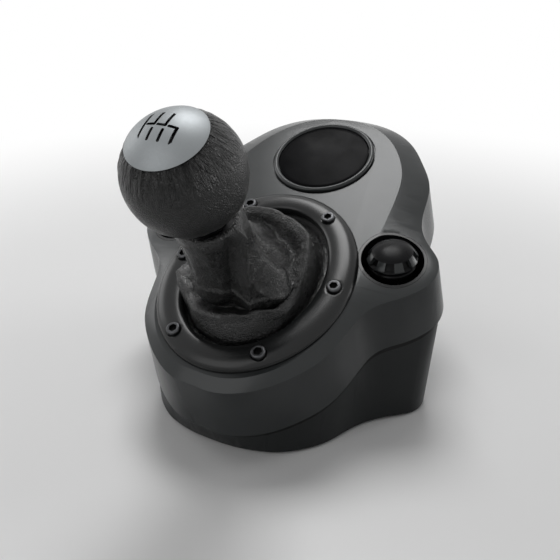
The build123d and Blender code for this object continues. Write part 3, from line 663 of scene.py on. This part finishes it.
class SHIFTER_OT_ring(bpy.types.Operator):
    """Build the oval ring that holds the boot down"""

    bl_idname = "shifter.ring"
    bl_label = "Boot ring"

    def execute(self, context):
        size = sizes()
        outer = size.ring_half_width
        inner = size.opening_half_width
        top = size.ring_top
        deck = size.deck_height
        # Each place across the ring: 0 at the opening, 1 at the outside, and its height
        section = [(0.0, deck), (0.0, deck + 0.0020), (0.025, deck + 0.0029), (0.08, deck + 0.0036),
                   (0.17, top - 0.0002), (0.30, top + 0.0001), (0.5, top + 0.0002), (0.66, top),
                   (0.78, top - 0.0005), (0.88, top - 0.0012), (0.95, top - 0.0021),
                   (0.99, top - 0.0031), (1.0, deck)]
        steps = 128
        deselect()
        bpy.ops.mesh.primitive_circle_add(vertices=steps, radius=1)
        obj = bpy.context.object
        obj.name = "boot_ring_bead"
        edit_all()
        low_length = size.opening_half_length

        def ring_size(share):
            return (inner + (outer - inner) * share,
                    low_length + (size.ring_half_length - low_length) * share)

        width, length = ring_size(section[0][0])
        bpy.ops.transform.resize(value=(width, length, 1))
        height = section[0][1]
        bpy.ops.transform.translate(value=(0, 0, height))
        for share, next_height in section[1:] + section[:1]:
            next_width, next_length = ring_size(share)
            ratios = (next_width / width, next_length / length)
            draw_on(next_height - height, ratios, next_height, False)
            width, length, height = next_width, next_length, next_height
        bpy.ops.object.mode_set(mode="OBJECT")
        recalculate(obj)
        cutters = []
        well_depth = 0.006
        well_gap = 0.0004
        for u, v in screw_places():
            deselect()
            bpy.ops.mesh.primitive_cylinder_add(vertices=40, radius=screw_head_radius + well_gap,
                                                depth=well_depth,
                                                location=(u, v, seat_height + well_depth / 2))
            cutters.append(bpy.context.object)
        cut(obj, cutters)
        round_edges(obj, width=0.00018, angle=40)
        place(obj, deck_frame)
        smooth(obj, 35)
        finish_piece(obj, "base", "ring", "ring_black", "boot_ring")
        return {"FINISHED"}


def cut(obj, cutters):
    """Cuts each cutter out of a piece and deletes the cutters."""
    for cutter in cutters:
        modify(obj, "BOOLEAN", operation="DIFFERENCE", object=cutter, solver="EXACT")
        bpy.data.objects.remove(cutter)


screw_head_radius = 0.0033
screw_head_height = 0.0030
seat_height = -0.0030
screw_half_width = 0.040
screw_front = 0.0418
screw_rear = 0.0399
screw_side = 0.0216


def screw_places():
    """Places of the ring screws on the deck."""
    pairs = [(-screw_half_width, 0), (screw_half_width, 0)]
    for side in (-1, 1):
        pairs.append((side * screw_side, -screw_front))
        pairs.append((side * screw_side, screw_rear))
    return pairs


class SHIFTER_OT_ring_screws(bpy.types.Operator):
    """Build the socket screws of the boot ring"""

    bl_idname = "shifter.ring_screws"
    bl_label = "Ring screws"

    def execute(self, context):
        radius = screw_head_radius
        top = seat_height + screw_head_height
        shank = 0.00125
        end = -0.0103
        profile = [(shank * 0.7, end), (shank, end + 0.0005), (shank, seat_height - 0.0001),
                   (radius * 0.96, seat_height), (radius, seat_height + 0.0002),
                   (radius, top - 0.0006), (radius * 0.96, top - 0.00035),
                   (radius * 0.88, top - 0.00006), (radius * 0.84, top), (radius * 0.70, top),
                   (radius * 0.66, top - 0.0001)]
        head = drawn_up("ring_screw", profile, 48)
        socket_radius = 0.00205
        socket_edge = 0.0001
        deselect()
        bpy.ops.mesh.primitive_cylinder_add(vertices=6, radius=socket_radius, depth=0.0032,
                                            location=(0, 0, top))
        cut(head, [bpy.context.object])
        screws = []
        for i, (u, v) in enumerate(screw_places()):
            screw = duplicate(head, "ring_screw")
            turn = Matrix.Rotation(0.7 * i, 4, "Z")
            place(screw, deck_frame @ Matrix.Translation((u, v, 0)) @ turn)
            screws.append(screw)
        bpy.data.objects.remove(head)
        activate(screws[0])
        for screw in screws:
            screw.select_set(True)
        bpy.ops.object.join()
        screws[0].name = "boot_ring_screws"

        def in_socket(spot):
            away = min(hypot(spot.x - u, spot.y - v) for u, v in screw_places())
            deep = seat_height < spot.z < top - 1.5 * socket_edge
            return deep and away < socket_radius - socket_edge

        smooth(screws[0], 35)
        finish_piece(screws[0], "base", "screw", "screw_black", "ring_screws")
        # Painted shade: the faces deep in each socket get the near-black finish.
        second_finish(screws[0], deck_frame, "hollow_shade", in_socket)
        return {"FINISHED"}


class SHIFTER_OT_badge(bpy.types.Operator):
    """Build the bare glossy disc and its raised bezel"""

    bl_idname = "shifter.badge"
    bl_label = "Disc and bezel"

    def execute(self, context):
        size = sizes()
        floor = size.deck_height - 0.0012
        crest = floor + 0.0030
        outer = size.bezel_radius
        inner = size.badge_radius + 0.0003
        spot = deck_frame @ Matrix.Translation((0, size.badge_forward, 0))
        section = [(inner, floor), (outer - 0.0004, floor), (outer, floor + 0.0008),
                   (outer - 0.00005, crest - 0.0012), (outer - 0.00025, crest - 0.0007),
                   (outer - 0.0006, crest - 0.0003), (outer - 0.0011, crest - 0.00005),
                   (outer - 0.0016, crest), (inner + 0.0010, crest - 0.0001),
                   (inner + 0.0005, crest - 0.0003), (inner + 0.00015, crest - 0.0006),
                   (inner, crest - 0.0010)]
        bezel = drawn_up("disc_bezel", section, 128, closed=False)
        place(bezel, spot)
        smooth(bezel, 35)
        finish_piece(bezel, "base", "case", "shell_grey", "badge_bezel")
        radius = size.badge_radius
        rim = floor + 0.0021
        dome = [(radius - 0.0004, floor), (radius, floor + 0.0004), (radius, rim - 0.0004),
                (radius - 0.0001, rim - 0.00015), (radius - 0.0004, rim)]
        steps = 14
        crown = 0.0006
        for i in range(1, steps):
            share = 1 - i / steps
            dome.append(((radius - 0.0004) * share, rim + crown * (1 - share ** 2)))
        disc = drawn_up("gloss_disc", dome, 128)
        place(disc, spot)
        smooth(disc, 40)
        finish_piece(disc, "base", "disc", "gloss_black", "badge_disc")
        return {"FINISHED"}


class SHIFTER_OT_ball(bpy.types.Operator):
    """Build the leather ball and the collar under it"""

    bl_idname = "shifter.ball"
    bl_label = "Leather ball"

    def execute(self, context):
        size = sizes()
        radius = size.ball_diameter / 2
        centre = size.ball_centre
        top_angle = degrees(atan2(size.cap_share, sqrt(1 - size.cap_share ** 2)))
        collar_radius = 0.0106
        low_angle = -degrees(atan2(sqrt(1 - (collar_radius / radius) ** 2), collar_radius / radius))
        skin = arc(0, centre, radius, low_angle, top_angle - 1.2, 100)
        edge_radius, edge_height = skin[-1]
        lip = [(edge_radius - 0.0004, edge_height + 0.00025),
               (edge_radius - 0.0010, edge_height + 0.0001)]
        inner = arc(0, centre, radius - 0.0013, top_angle - 3, low_angle, 30)
        ball = drawn_up("ball_cover", skin + lip + inner, 256, closed=False)
        cap_share = size.cap_share
        foot_share = -0.9
        gathers_round = 17

        def pull(spot):
            """Strong below the cap and above the collar, where the leather is drawn together."""
            height = (spot.z - centre) / radius
            upper = 1 - limited((cap_share - height) / 0.5)
            lower = 1 - limited((height - foot_share) / 0.4)
            return max(upper, lower) ** 0.8

        def lines(spot):
            """Close together round the ball and far apart along its height."""
            turn = atan2(spot.y, spot.x)
            climb = degrees(atan2(spot.z - centre, hypot(spot.x, spot.y)))
            return (gathers_round * cos(turn), gathers_round * sin(turn), climb / 11)

        for vertex in ball.data.vertices:
            offset = vertex.co - Vector((0, 0, centre))
            if offset.length < radius - 0.0005:
                continue
            gather = noise.noise(Vector(lines(vertex.co)) * 0.6)
            drawn = pull(vertex.co) * 0.0005 * (gather - 0.3)
            soft = 0.0002 * noise.noise(offset * 110)
            vertex.co += offset.normalized() * (drawn + soft - 0.0001)
        set_pull(ball, lines, pull)
        place(ball, lever_frame)
        smooth(ball, 50)
        finish_piece(ball, "knob", "ball_leather", "leather_black", "knob_cover")
        bottom = centre - radius - 0.001
        sleeve = 0.00735
        section = [(sleeve, bottom + 0.006), (sleeve, bottom + 0.0003), (sleeve + 0.0003, bottom),
                   (collar_radius - 0.0007, bottom), (collar_radius - 0.0002, bottom + 0.0002),
                   (collar_radius - 0.0001, bottom + 0.0007),
                   (collar_radius - 0.0001, bottom + 0.006)]
        collar = drawn_up("ball_collar", section, 96, closed=False)
        place(collar, lever_frame)
        smooth(collar, 35)
        finish_piece(collar, "knob", "ring", "ring_black", "knob_collar")
        return {"FINISHED"}


# The gear pattern's strokes from end to end, as shares of the cap's radius: three full lanes
# and a short one, with the cross lane in pieces between them
pattern_strokes = (
    ((-0.42, 0.40), (-0.42, -0.40)),
    ((-0.33, 0.0), (-0.14, 0.0), (-0.14, 0.40)), ((-0.14, -0.13), (-0.14, -0.40)),
    ((-0.05, 0.0), (0.14, 0.0), (0.14, 0.40)), ((0.14, -0.13), (0.14, -0.40)),
    ((0.23, 0.0), (0.42, 0.0), (0.42, -0.40)))


def groove_bar(length, width, depth, middle, along_y):
    """A cutter with round ends for one groove."""
    deselect()
    bpy.ops.mesh.primitive_cylinder_add(vertices=24, radius=width / 2, depth=depth)
    bar = bpy.context.object
    edit_all()
    bpy.ops.mesh.bisect(plane_co=(0, 0, 0), plane_no=(1, 0, 0))
    bpy.ops.object.mode_set(mode="OBJECT")
    for vertex in bar.data.vertices:
        if vertex.co.x > 1e-7:
            vertex.co.x += length / 2
        elif vertex.co.x < -1e-7:
            vertex.co.x -= length / 2
    turn = Matrix.Rotation(pi / 2, 4, "Z") if along_y else Matrix.Identity(4)
    place(bar, Matrix.Translation(middle) @ turn)
    return bar


class SHIFTER_OT_cap(bpy.types.Operator):
    """Build the metal cap with its engraved gear pattern"""

    bl_idname = "shifter.cap"
    bl_label = "Metal cap"

    def execute(self, context):
        size = sizes()
        ball_radius = size.ball_diameter / 2
        seat = size.ball_centre + ball_radius * size.cap_share
        radius = ball_radius * sqrt(1 - size.cap_share ** 2)
        edge = 0.0002
        crown_radius = (radius ** 2 + size.cap_crown ** 2) / (2 * size.cap_crown)
        crown_centre = seat + edge + size.cap_crown - crown_radius
        neck = radius - 0.0016
        profile = [(neck - 0.0005, seat - 0.0030), (neck, seat - 0.0026), (neck, seat + 0.0001),
                   (radius - 0.0002, seat + 0.0001), (radius - 0.00005, seat + 0.00013),
                   (radius, seat + 0.00018)]
        steps = 26
        for i in range(steps):
            across = (radius - 0.0002) * (1 - i / steps)
            profile.append((across, crown_centre + sqrt(crown_radius ** 2 - across ** 2)))
        cap = drawn_up("metal_cap", profile, 128)
        cutters = []
        tall = 0.008
        for stroke in pattern_strokes:
            for (x0, y0), (x1, y1) in zip(stroke, stroke[1:]):
                start = Vector((x0, y0, 0)) * radius
                end = Vector((x1, y1, 0)) * radius
                middle = (start + end) / 2
                across = middle.length
                middle.z = crown_centre + sqrt(crown_radius ** 2 - across ** 2)
                middle.z += tall / 2 - size.groove_depth
                cutters.append(groove_bar((end - start).length, size.groove_width, tall, middle,
                                          abs(y1 - y0) > abs(x1 - x0)))
        cut(cap, cutters)

        def in_groove(spot):
            depth = crown_radius - (spot - Vector((0, 0, crown_centre))).length
            inside = hypot(spot.x, spot.y) < radius * 0.7 and spot.z > seat
            return inside and depth > 0.00012

        place(cap, lever_frame)
        smooth(cap, 30)
        finish_piece(cap, "knob", "cap", "cap_metal", "knob_cap")
        # Painted shade: the faces deep in the grooves get the near-black finish.
        second_finish(cap, lever_frame, "hollow_shade", in_groove)
        return {"FINISHED"}


def notch_or_tab(spot, tabs):
    """Number of the equal slice round a clamp knob: even for a notch, odd for a tab."""
    return int((degrees(atan2(spot.y, spot.x)) % 360) / (180 / tabs))


class SHIFTER_OT_clamp_knobs(bpy.types.Operator):
    """Build the clamp knobs with their sloping tabs"""

    bl_idname = "shifter.clamp_knobs"
    bl_label = "Clamp knobs"

    def execute(self, context):
        size = sizes()
        tabs = 8
        sides = tabs * 2 * 6
        radius = size.knob_radius
        top = 0.0079
        bottom = -0.0108
        eave = 0.0016
        brow = 0.0066
        inner = radius * 0.64
        tab_top = brow - 0.0006
        notch_depth = 0.0018
        profile = [(radius * 0.82, bottom), (radius * 0.88, bottom + 0.0004),
                   (radius * 0.88, eave - 0.0044), (radius * 0.93, eave - 0.0041),
                   (radius * 0.93, eave - 0.0030), (radius * 0.88, eave - 0.0026),
                   (radius * 0.88, eave - 0.0008), (radius * 0.98, eave - 0.0004), (radius, eave),
                   (radius, eave + 0.0006), (radius * 0.985, eave + 0.0009),
                   (radius * 0.93, eave + 0.0017), (radius * 0.80, brow - 0.0009),
                   (inner * 1.03, brow - 0.0001), (inner * 0.97, brow + 0.0001)]
        steps = 9
        for i in range(1, steps):
            share = 1 - i / steps
            profile.append((inner * 0.95 * share, brow + 0.0002 + (top - brow) * (1 - share ** 2)))

        def in_notch(middle):
            in_band = eave - 0.0002 < middle.z < tab_top
            outside = hypot(middle.x, middle.y) > radius * 0.78
            return in_band and outside and notch_or_tab(middle, tabs) % 2 == 0

        def on_tab(middle):
            in_band = eave < middle.z < tab_top
            outside = hypot(middle.x, middle.y) > inner
            return in_band and outside and notch_or_tab(middle, tabs) % 2 == 1

        for side in ("left", "right"):
            node = "clamp_knob_" + side
            knob = drawn_up(node + "_cap", profile, sides)
            activate(knob)
            bpy.ops.object.mode_set(mode="EDIT")
            bpy.ops.mesh.select_mode(type="FACE")
            pick_faces(knob, in_notch)
            bpy.ops.mesh.extrude_region_shrink_fatten(
                TRANSFORM_OT_shrink_fatten={"value": -notch_depth, "use_even_offset": False})
            bpy.ops.mesh.select_mode(type="VERT")
            bpy.ops.object.mode_set(mode="OBJECT")
            recalculate(knob)
            round_edges(knob, width=0.00012, angle=35)
            place(knob, clamp_frame(side))
            smooth(knob, 35)
            finish_piece(knob, node, "gloss", "gloss_black", node)
            # Painted highlight: the tabs get the lighter satin grey of the case, standing in for
            # their lit facets on the black knob.
            second_finish(knob, clamp_frame(side), "case", on_tab)
        return {"FINISHED"}


class SHIFTER_OT_knob_cups(bpy.types.Operator):
    """Build the cups that the clamp knobs sit in"""

    bl_idname = "shifter.knob_cups"
    bl_label = "Knob cups"

    def execute(self, context):
        for side in ("left", "right"):
            cup = dressed_copy("knob_cup_" + side, "well_cup_" + side)
            bevel_outer_edges(cup, width=0.00012, segments=1, least=30, most=150,
                              test=lambda middle, normal: normal.z > 0.3)
            smooth(cup, 30)
            finish_piece(cup, "base", "ring", "ring_black", "knob_cup_" + side)
        return {"FINISHED"}


# The boot, as rows from the hem up to the neck. Each row has the place of its middle, and
# the reach and height of the leather at twelve compass points 30 degrees apart, from the
# right by way of the rear and the left to the front
boot_rows = [
    (0.0, (34.6, 36.6, 41.4, 43.6, 41.4, 36.6, 34.6, 36.6, 41.4, 43.6, 41.4, 36.6), (-7.6,) * 12),
    (0.0, (30.4, 31.8, 36.0, 39.0, 36.2, 32.2, 31.0, 33.2, 37.8, 40.2, 37.4, 32.6), (-7.5,) * 12),
    (0.0, (28.8, 28.6, 27.4, 27.6, 28.6, 30.4, 31.0, 34.0, 37.0, 39.2, 36.6, 31.6),
     (-2.5, 0.5, 2.5, 3.0, 2.5, 0.0, -2.5, -2.0, -3.4, -3.2, -3.6, -4.4)),
    (0.0, (27.8, 27.6, 24.8, 24.2, 25.2, 28.0, 29.0, 34.8, 35.6, 35.8, 33.8, 30.2),
     (7.0, 13.8, 15.8, 15.8, 15.2, 10.5, 2.5, 5.8, 2.4, 2.6, 2.8, 1.6)),
    (-1.5, (26.2, 25.4, 22.6, 22.4, 23.4, 25.8, 26.8, 32.4, 32.0, 31.2, 29.8, 27.4),
     (8.4, 14.6, 16.2, 16.0, 15.4, 11.0, 3.2, 7.2, 4.8, 5.6, 5.8, 3.8)),
    (-5.0, (23.6, 21.8, 20.8, 22.0, 22.4, 22.6, 20.4, 20.4, 21.4, 20.6, 20.2, 24.2),
     (8.0, 9.2, 10.8, 11.6, 12.0, 9.4, 3.6, 2.4, 1.6, 1.0, 0.2, 0.0)),
    (-9.0, (22.6, 19.6, 18.4, 19.4, 19.6, 18.4, 16.4, 18.2, 21.6, 18.4, 16.6, 21.4),
     (11.5, 14.5, 16.8, 18.0, 18.0, 15.0, 11.0, 8.5, 8.0, 7.0, 5.8, 4.6)),
    (-13.5, (17.2, 17.0, 16.6, 17.0, 17.2, 16.0, 14.0, 15.4, 18.0, 15.0, 13.2, 14.8),
     (18.5, 21.5, 24.0, 25.0, 25.0, 23.0, 21.0, 18.5, 17.0, 16.5, 15.5, 13.0)),
    (-15.2, (14.4, 15.2, 15.4, 15.4, 15.4, 14.4, 13.0, 13.6, 15.4, 13.8, 12.6, 12.9),
     (27.0, 29.0, 31.0, 32.0, 32.0, 31.0, 29.0, 27.0, 25.5, 25.0, 25.0, 24.0)),
    (-16.4, (13.6, 14.4, 14.8, 14.8, 14.6, 14.0, 13.2, 13.2, 14.4, 13.6, 13.0, 13.0),
     (37.0, 38.0, 39.0, 39.5, 39.5, 39.0, 38.0, 37.0, 36.0, 35.5, 35.5, 36.0)),
    (-17.3, (14.4,) * 12, (46.5, 46.8, 47.0, 47.2, 47.0, 46.8, 46.5, 46.2, 46.0, 46.0, 46.0, 46.2)),
    (-17.8, (13.8,) * 12, (50.5,) * 12),
    (-17.8, (11.9,) * 12, (51.1,) * 12),
]
compass_step = 30
millimetre = 0.001
# Folds: compass angle and row where each starts and ends, width in degrees, height in mm,
# and how soft its crest is, from 1 for a sharp one to 2 for a round one. Each fades out over
# a little more than a row beyond its ends
fold_fade = 1.2
boot_folds = [
    (350, 9.8, 302, 5.8, 8, 5.0, 1.0),
    (330, 9.6, 281, 6.0, 12, -2.2, 2.0),
    (206, 10.2, 228, 6.2, 7, 2.4, 1.2),
    (262, 9.4, 262, 6.4, 20, -1.4, 2.0),
    (206, 4.8, 208, 2.6, 6, 1.4, 1.1),
    (214, 5.4, 238, 2.6, 6, -1.4, 1.6),
    (250, 5.4, 246, 2.6, 9, 1.2, 1.5),
    (272, 5.6, 284, 3.0, 9, -1.2, 2.0),
    (312, 5.4, 322, 2.8, 8, 1.6, 1.3),
    (298, 4.8, 304, 2.6, 7, -1.2, 2.0),
    (334, 6.8, 352, 4.8, 8, 2.6, 1.2),
    (40, 7.8, 4, 5.2, 10, -3.0, 1.5),
    (20, 8.8, 340, 6.4, 10, 1.8, 1.5),
    (70, 8.6, 58, 5.2, 8, -1.6, 1.5),
    (96, 9.0, 90, 5.6, 10, 1.4, 1.5),
    (140, 9.4, 150, 5.6, 12, 1.4, 1.5),
    (168, 8.6, 172, 5.0, 9, -1.3, 1.8),
    (24, 4.8, 30, 2.6, 7, 0.9, 1.4),
    (62, 4.6, 66, 2.4, 7, -0.7, 2.0),
]


def smooth_blend(values, position, periodic):
    """A smooth curve through evenly spaced values."""
    count = len(values)
    low = int(position // 1)
    t = position - low

    def value(i):
        return values[i % count] if periodic else values[max(0, min(count - 1, i))]

    a, b, c, d = (value(low + k) for k in (-1, 0, 1, 2))
    return 0.5 * ((2 * b) + (c - a) * t + (2 * a - 5 * b + 4 * c - d) * t * t
                  + (3 * b - a - 3 * c + d) * t * t * t)


def boot_point(angle, row):
    """A place on the boot's skin on the deck, in mm, at a compass angle and a row."""
    compass = (angle % 360) / compass_step
    reaches = [smooth_blend(r[1], compass, True) for r in boot_rows]
    heights = [smooth_blend(r[2], compass, True) for r in boot_rows]
    middle = smooth_blend([r[0] for r in boot_rows], row, False)
    reach = smooth_blend(reaches, row, False)
    height = smooth_blend(heights, row, False)
    for start, high, end, low, width, rise, crest in boot_folds:
        if not low - fold_fade < row < high + fold_fade:
            continue
        along = limited((high - row) / (high - low))
        centre = start + (end - start) * along
        away = (angle - centre + 180) % 360 - 180
        fade = limited(min(row - low + fold_fade, high + fold_fade - row) / fold_fade)
        reach += rise * fade * exp(-(abs(away) / width) ** crest)
    turn = radians(angle)
    return Vector((reach * cos(turn), middle + reach * sin(turn), height))


class SHIFTER_OT_boot(bpy.types.Operator):
    """Build the gathered leather boot, in a skirt and a cuff that meet in one line"""

    bl_idname = "shifter.boot"
    bl_label = "Leather boot"

    def execute(self, context):
        around = 220
        rises = 150
        last = len(boot_rows) - 1
        hem_height = -5
        neck_height = 46.5
        wrinkles_round = 15
        deselect()
        bpy.ops.mesh.primitive_grid_add(x_subdivisions=around, y_subdivisions=rises, size=2)
        boot = bpy.context.object
        boot.name = "boot_whole"
        for vertex in boot.data.vertices:
            angle = 180 * (vertex.co.x + 1)
            row = last * (vertex.co.y + 1) / 2
            vertex.co = boot_point(angle, row) * millimetre
        recalculate(boot)
        normals = [vertex.normal.copy() for vertex in boot.data.vertices]
        for vertex, normal in zip(boot.data.vertices, normals):
            spot = vertex.co
            high = spot.z / millimetre
            # The hem under the ring and the neck under the band stay smooth
            free = limited((high - hem_height) / 6) * limited((neck_height - high) / 4)
            broad = noise.noise(spot * 75 + Vector((3, 1, 7)))
            crease = 1 - abs(noise.noise(spot * 150 + Vector((9, 4, 2)))) * 3.2
            fine = noise.noise(spot * 420)
            shift = 0.0004 * broad + 0.0002 * max(0, crease) + 0.00012 * fine
            vertex.co = spot + normal * shift * free

        def lines(spot):
            turn = atan2(spot.y + 0.012, spot.x)
            return (wrinkles_round * cos(turn), wrinkles_round * sin(turn), spot.z * 90)

        set_pull(boot, lines, lambda spot: 0.5)
        place(boot, deck_frame)
        smooth(boot, 180)
        modify(boot, "SOLIDIFY", thickness=sizes().leather, offset=-1)
        skin_normals = {tuple(round(c, 6) for c in v.co): v.normal.copy() for v in boot.data.vertices}
        split = 26.0 * millimetre
        to_deck = deck_frame.inverted()
        pieces = {}
        for name, upper in (("boot_skirt_leather", False), ("boot_cuff_leather", True)):
            piece = duplicate(boot, name)
            activate(piece)
            bpy.ops.object.mode_set(mode="EDIT")
            bpy.ops.mesh.select_mode(type="FACE")
            pick_faces(piece, lambda middle: ((to_deck @ middle).z > split) != upper)
            bpy.ops.mesh.delete(type="FACE")
            bpy.ops.mesh.select_mode(type="EDGE")
            bpy.ops.mesh.select_all(action="DESELECT")
            bpy.ops.mesh.select_non_manifold()
            bpy.ops.mesh.bridge_edge_loops()
            bpy.ops.mesh.select_mode(type="VERT")
            bpy.ops.object.mode_set(mode="OBJECT")
            pieces[name] = piece
        bpy.data.objects.remove(boot)
        for piece in pieces.values():
            smooth(piece, 180)
            piece.data.normals_split_custom_set_from_vertices(
                [skin_normals.get(tuple(round(c, 6) for c in v.co), v.normal)
                 for v in piece.data.vertices])
            finish_piece(piece, None, "boot_leather", "leather_black")
        skirt = pieces["boot_skirt_leather"]
        cuff = pieces["boot_cuff_leather"]
        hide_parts("boot_skirt")
        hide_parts("boot_cuff")
        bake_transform(skirt)
        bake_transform(cuff)
        return {"FINISHED"}


def seen_directly(tree):
    """A socket that is 1 for camera, glossy and transmission rays."""
    path = tree.nodes.new("ShaderNodeLightPath")
    total = path.outputs["Is Camera Ray"]
    for name in ("Is Glossy Ray", "Is Transmission Ray"):
        total = maths(tree, "ShaderNodeMath", "MAXIMUM", total, path.outputs[name])["Value"]
    return total


def mix_shaders(tree, share, first, second, output):
    """Mixes two shaders by a share and leads them to an output's surface."""
    mix = tree.nodes.new("ShaderNodeMixShader")
    tree.links.new(share, mix.inputs["Fac"])
    tree.links.new(first, mix.inputs[1])
    tree.links.new(second, mix.inputs[2])
    tree.links.new(mix.outputs["Shader"], tree.nodes[output].inputs["Surface"])


def fade_to_white(material):
    """Lets the floor fade to white away from the object, where rays see it directly."""
    tree = material.node_tree
    away = maths(tree, "ShaderNodeVectorMath", "LENGTH", object_coordinates(tree))
    faded = stretched(tree, away["Value"], 0.22, 0.60, soft=True)
    share = maths(tree, "ShaderNodeMath", "MULTIPLY", seen_directly(tree), faded)
    white = tree.nodes.new("ShaderNodeEmission")
    white.inputs["Color"].default_value = (1, 1, 1, 1)
    mix_shaders(tree, share["Value"], tree.nodes["Principled BSDF"].outputs["BSDF"],
                white.outputs["Emission"], "Material Output")


# Each lamp: name, place, power in watts and width. All aim at the middle of the shifter
lamps = (
    ("lamp_over", (-0.15, 0.35, 0.91), 5.0, 0.42),
    ("lamp_right", (0.78, 0.72, 0.30), 3.2, 0.45),
    ("lamp_left_rim", (-0.85, 0.05, 0.45), 1.3, 0.45),
    ("lamp_front", (-0.30, -1.00, 0.70), 3.0, 0.9))
lamp_target = Vector((0, 0, 0.06))
room_strength = 0.12
camera_lens = 41.14
camera_sensor = 36
camera_offset = Vector((0.13069, -0.23700, 0.13127))
camera_dip = 27
camera_turn = 26.31


class SHIFTER_OT_stage(bpy.types.Operator):
    """Set up the pale floor, the soft lamps and the camera"""

    bl_idname = "shifter.stage"
    bl_label = "Stage"

    def execute(self, context):
        scene = context.scene
        scene.view_settings.view_transform = "Standard"
        deselect()
        bpy.ops.mesh.primitive_plane_add(size=6)
        floor = context.object
        floor.name = "floor"
        material = base_material("floor_pale", colours().floor, 0.6)
        floor.data.materials.append(material)
        fade_to_white(material)
        world = bpy.data.worlds.new("soft_room")
        scene.world = world
        world.use_nodes = True
        tree = world.node_tree
        room = tree.nodes["Background"]
        room.inputs["Color"].default_value = (1, 1, 1, 1)
        room.inputs["Strength"].default_value = room_strength
        white = tree.nodes.new("ShaderNodeBackground")
        white.inputs["Color"].default_value = (1, 1, 1, 1)
        mix_shaders(tree, seen_directly(tree), room.outputs["Background"],
                    white.outputs["Background"], "World Output")
        for name, spot, power, width in lamps:
            lamp = bpy.data.lights.new(name, "AREA")
            lamp.energy = power
            lamp.size = width
            holder = bpy.data.objects.new(name, lamp)
            holder.location = spot
            aim = lamp_target - Vector(spot)
            holder.rotation_euler = aim.to_track_quat("-Z", "Y").to_euler()
            scene.collection.objects.link(holder)
        camera = bpy.data.cameras.new("camera")
        camera.lens = camera_lens
        camera.sensor_width = camera_sensor
        holder = bpy.data.objects.new("camera", camera)
        holder.location = ring_centre + camera_offset
        holder.rotation_euler = (radians(90 - camera_dip), 0, radians(camera_turn))
        scene.collection.objects.link(holder)
        scene.camera = holder
        return {"FINISHED"}


class SHIFTER_PT_panel(bpy.types.Panel):
    """The steps that build the shifter"""

    bl_idname = "SHIFTER_PT_panel"
    bl_label = "Gear Shifter"
    bl_space_type = "VIEW_3D"
    bl_region_type = "UI"
    bl_category = "Shifter"

    def draw(self, context):
        layout = self.layout
        for group in (context.scene.shifter_sizes, context.scene.shifter_colours):
            box = layout.box()
            for name in group.bl_rna.properties.keys():
                if name not in ("rna_type", "name"):
                    box.prop(group, name)
        for step in steps_in_order:
            layout.operator(step.bl_idname)


steps_in_order = (
    SHIFTER_OT_finishes, SHIFTER_OT_case_top, SHIFTER_OT_case_bottom, SHIFTER_OT_ring,
    SHIFTER_OT_ring_screws, SHIFTER_OT_badge, SHIFTER_OT_ball, SHIFTER_OT_cap,
    SHIFTER_OT_knob_cups, SHIFTER_OT_clamp_knobs, SHIFTER_OT_boot, SHIFTER_OT_stage)
classes = (ShifterSizes, ShifterColours, *steps_in_order, SHIFTER_PT_panel)


def register():
    """Adds the classes and the settings to Blender."""
    for item in classes:
        bpy.utils.register_class(item)
    bpy.types.Scene.shifter_sizes = bpy.props.PointerProperty(type=ShifterSizes)
    bpy.types.Scene.shifter_colours = bpy.props.PointerProperty(type=ShifterColours)


def unregister():
    """Takes the classes and the settings out again."""
    del bpy.types.Scene.shifter_colours
    del bpy.types.Scene.shifter_sizes
    for item in reversed(classes):
        bpy.utils.unregister_class(item)


def main():
    """Builds every piece in order."""
    register()
    bpy.ops.shifter.finishes()
    bpy.ops.shifter.case_top()
    bpy.ops.shifter.case_bottom()
    bpy.ops.shifter.ring()
    bpy.ops.shifter.ring_screws()
    bpy.ops.shifter.badge()
    bpy.ops.shifter.ball()
    bpy.ops.shifter.cap()
    bpy.ops.shifter.knob_cups()
    bpy.ops.shifter.clamp_knobs()
    bpy.ops.shifter.boot()
    bpy.ops.shifter.stage()


if __name__ == "__main__":
    main()
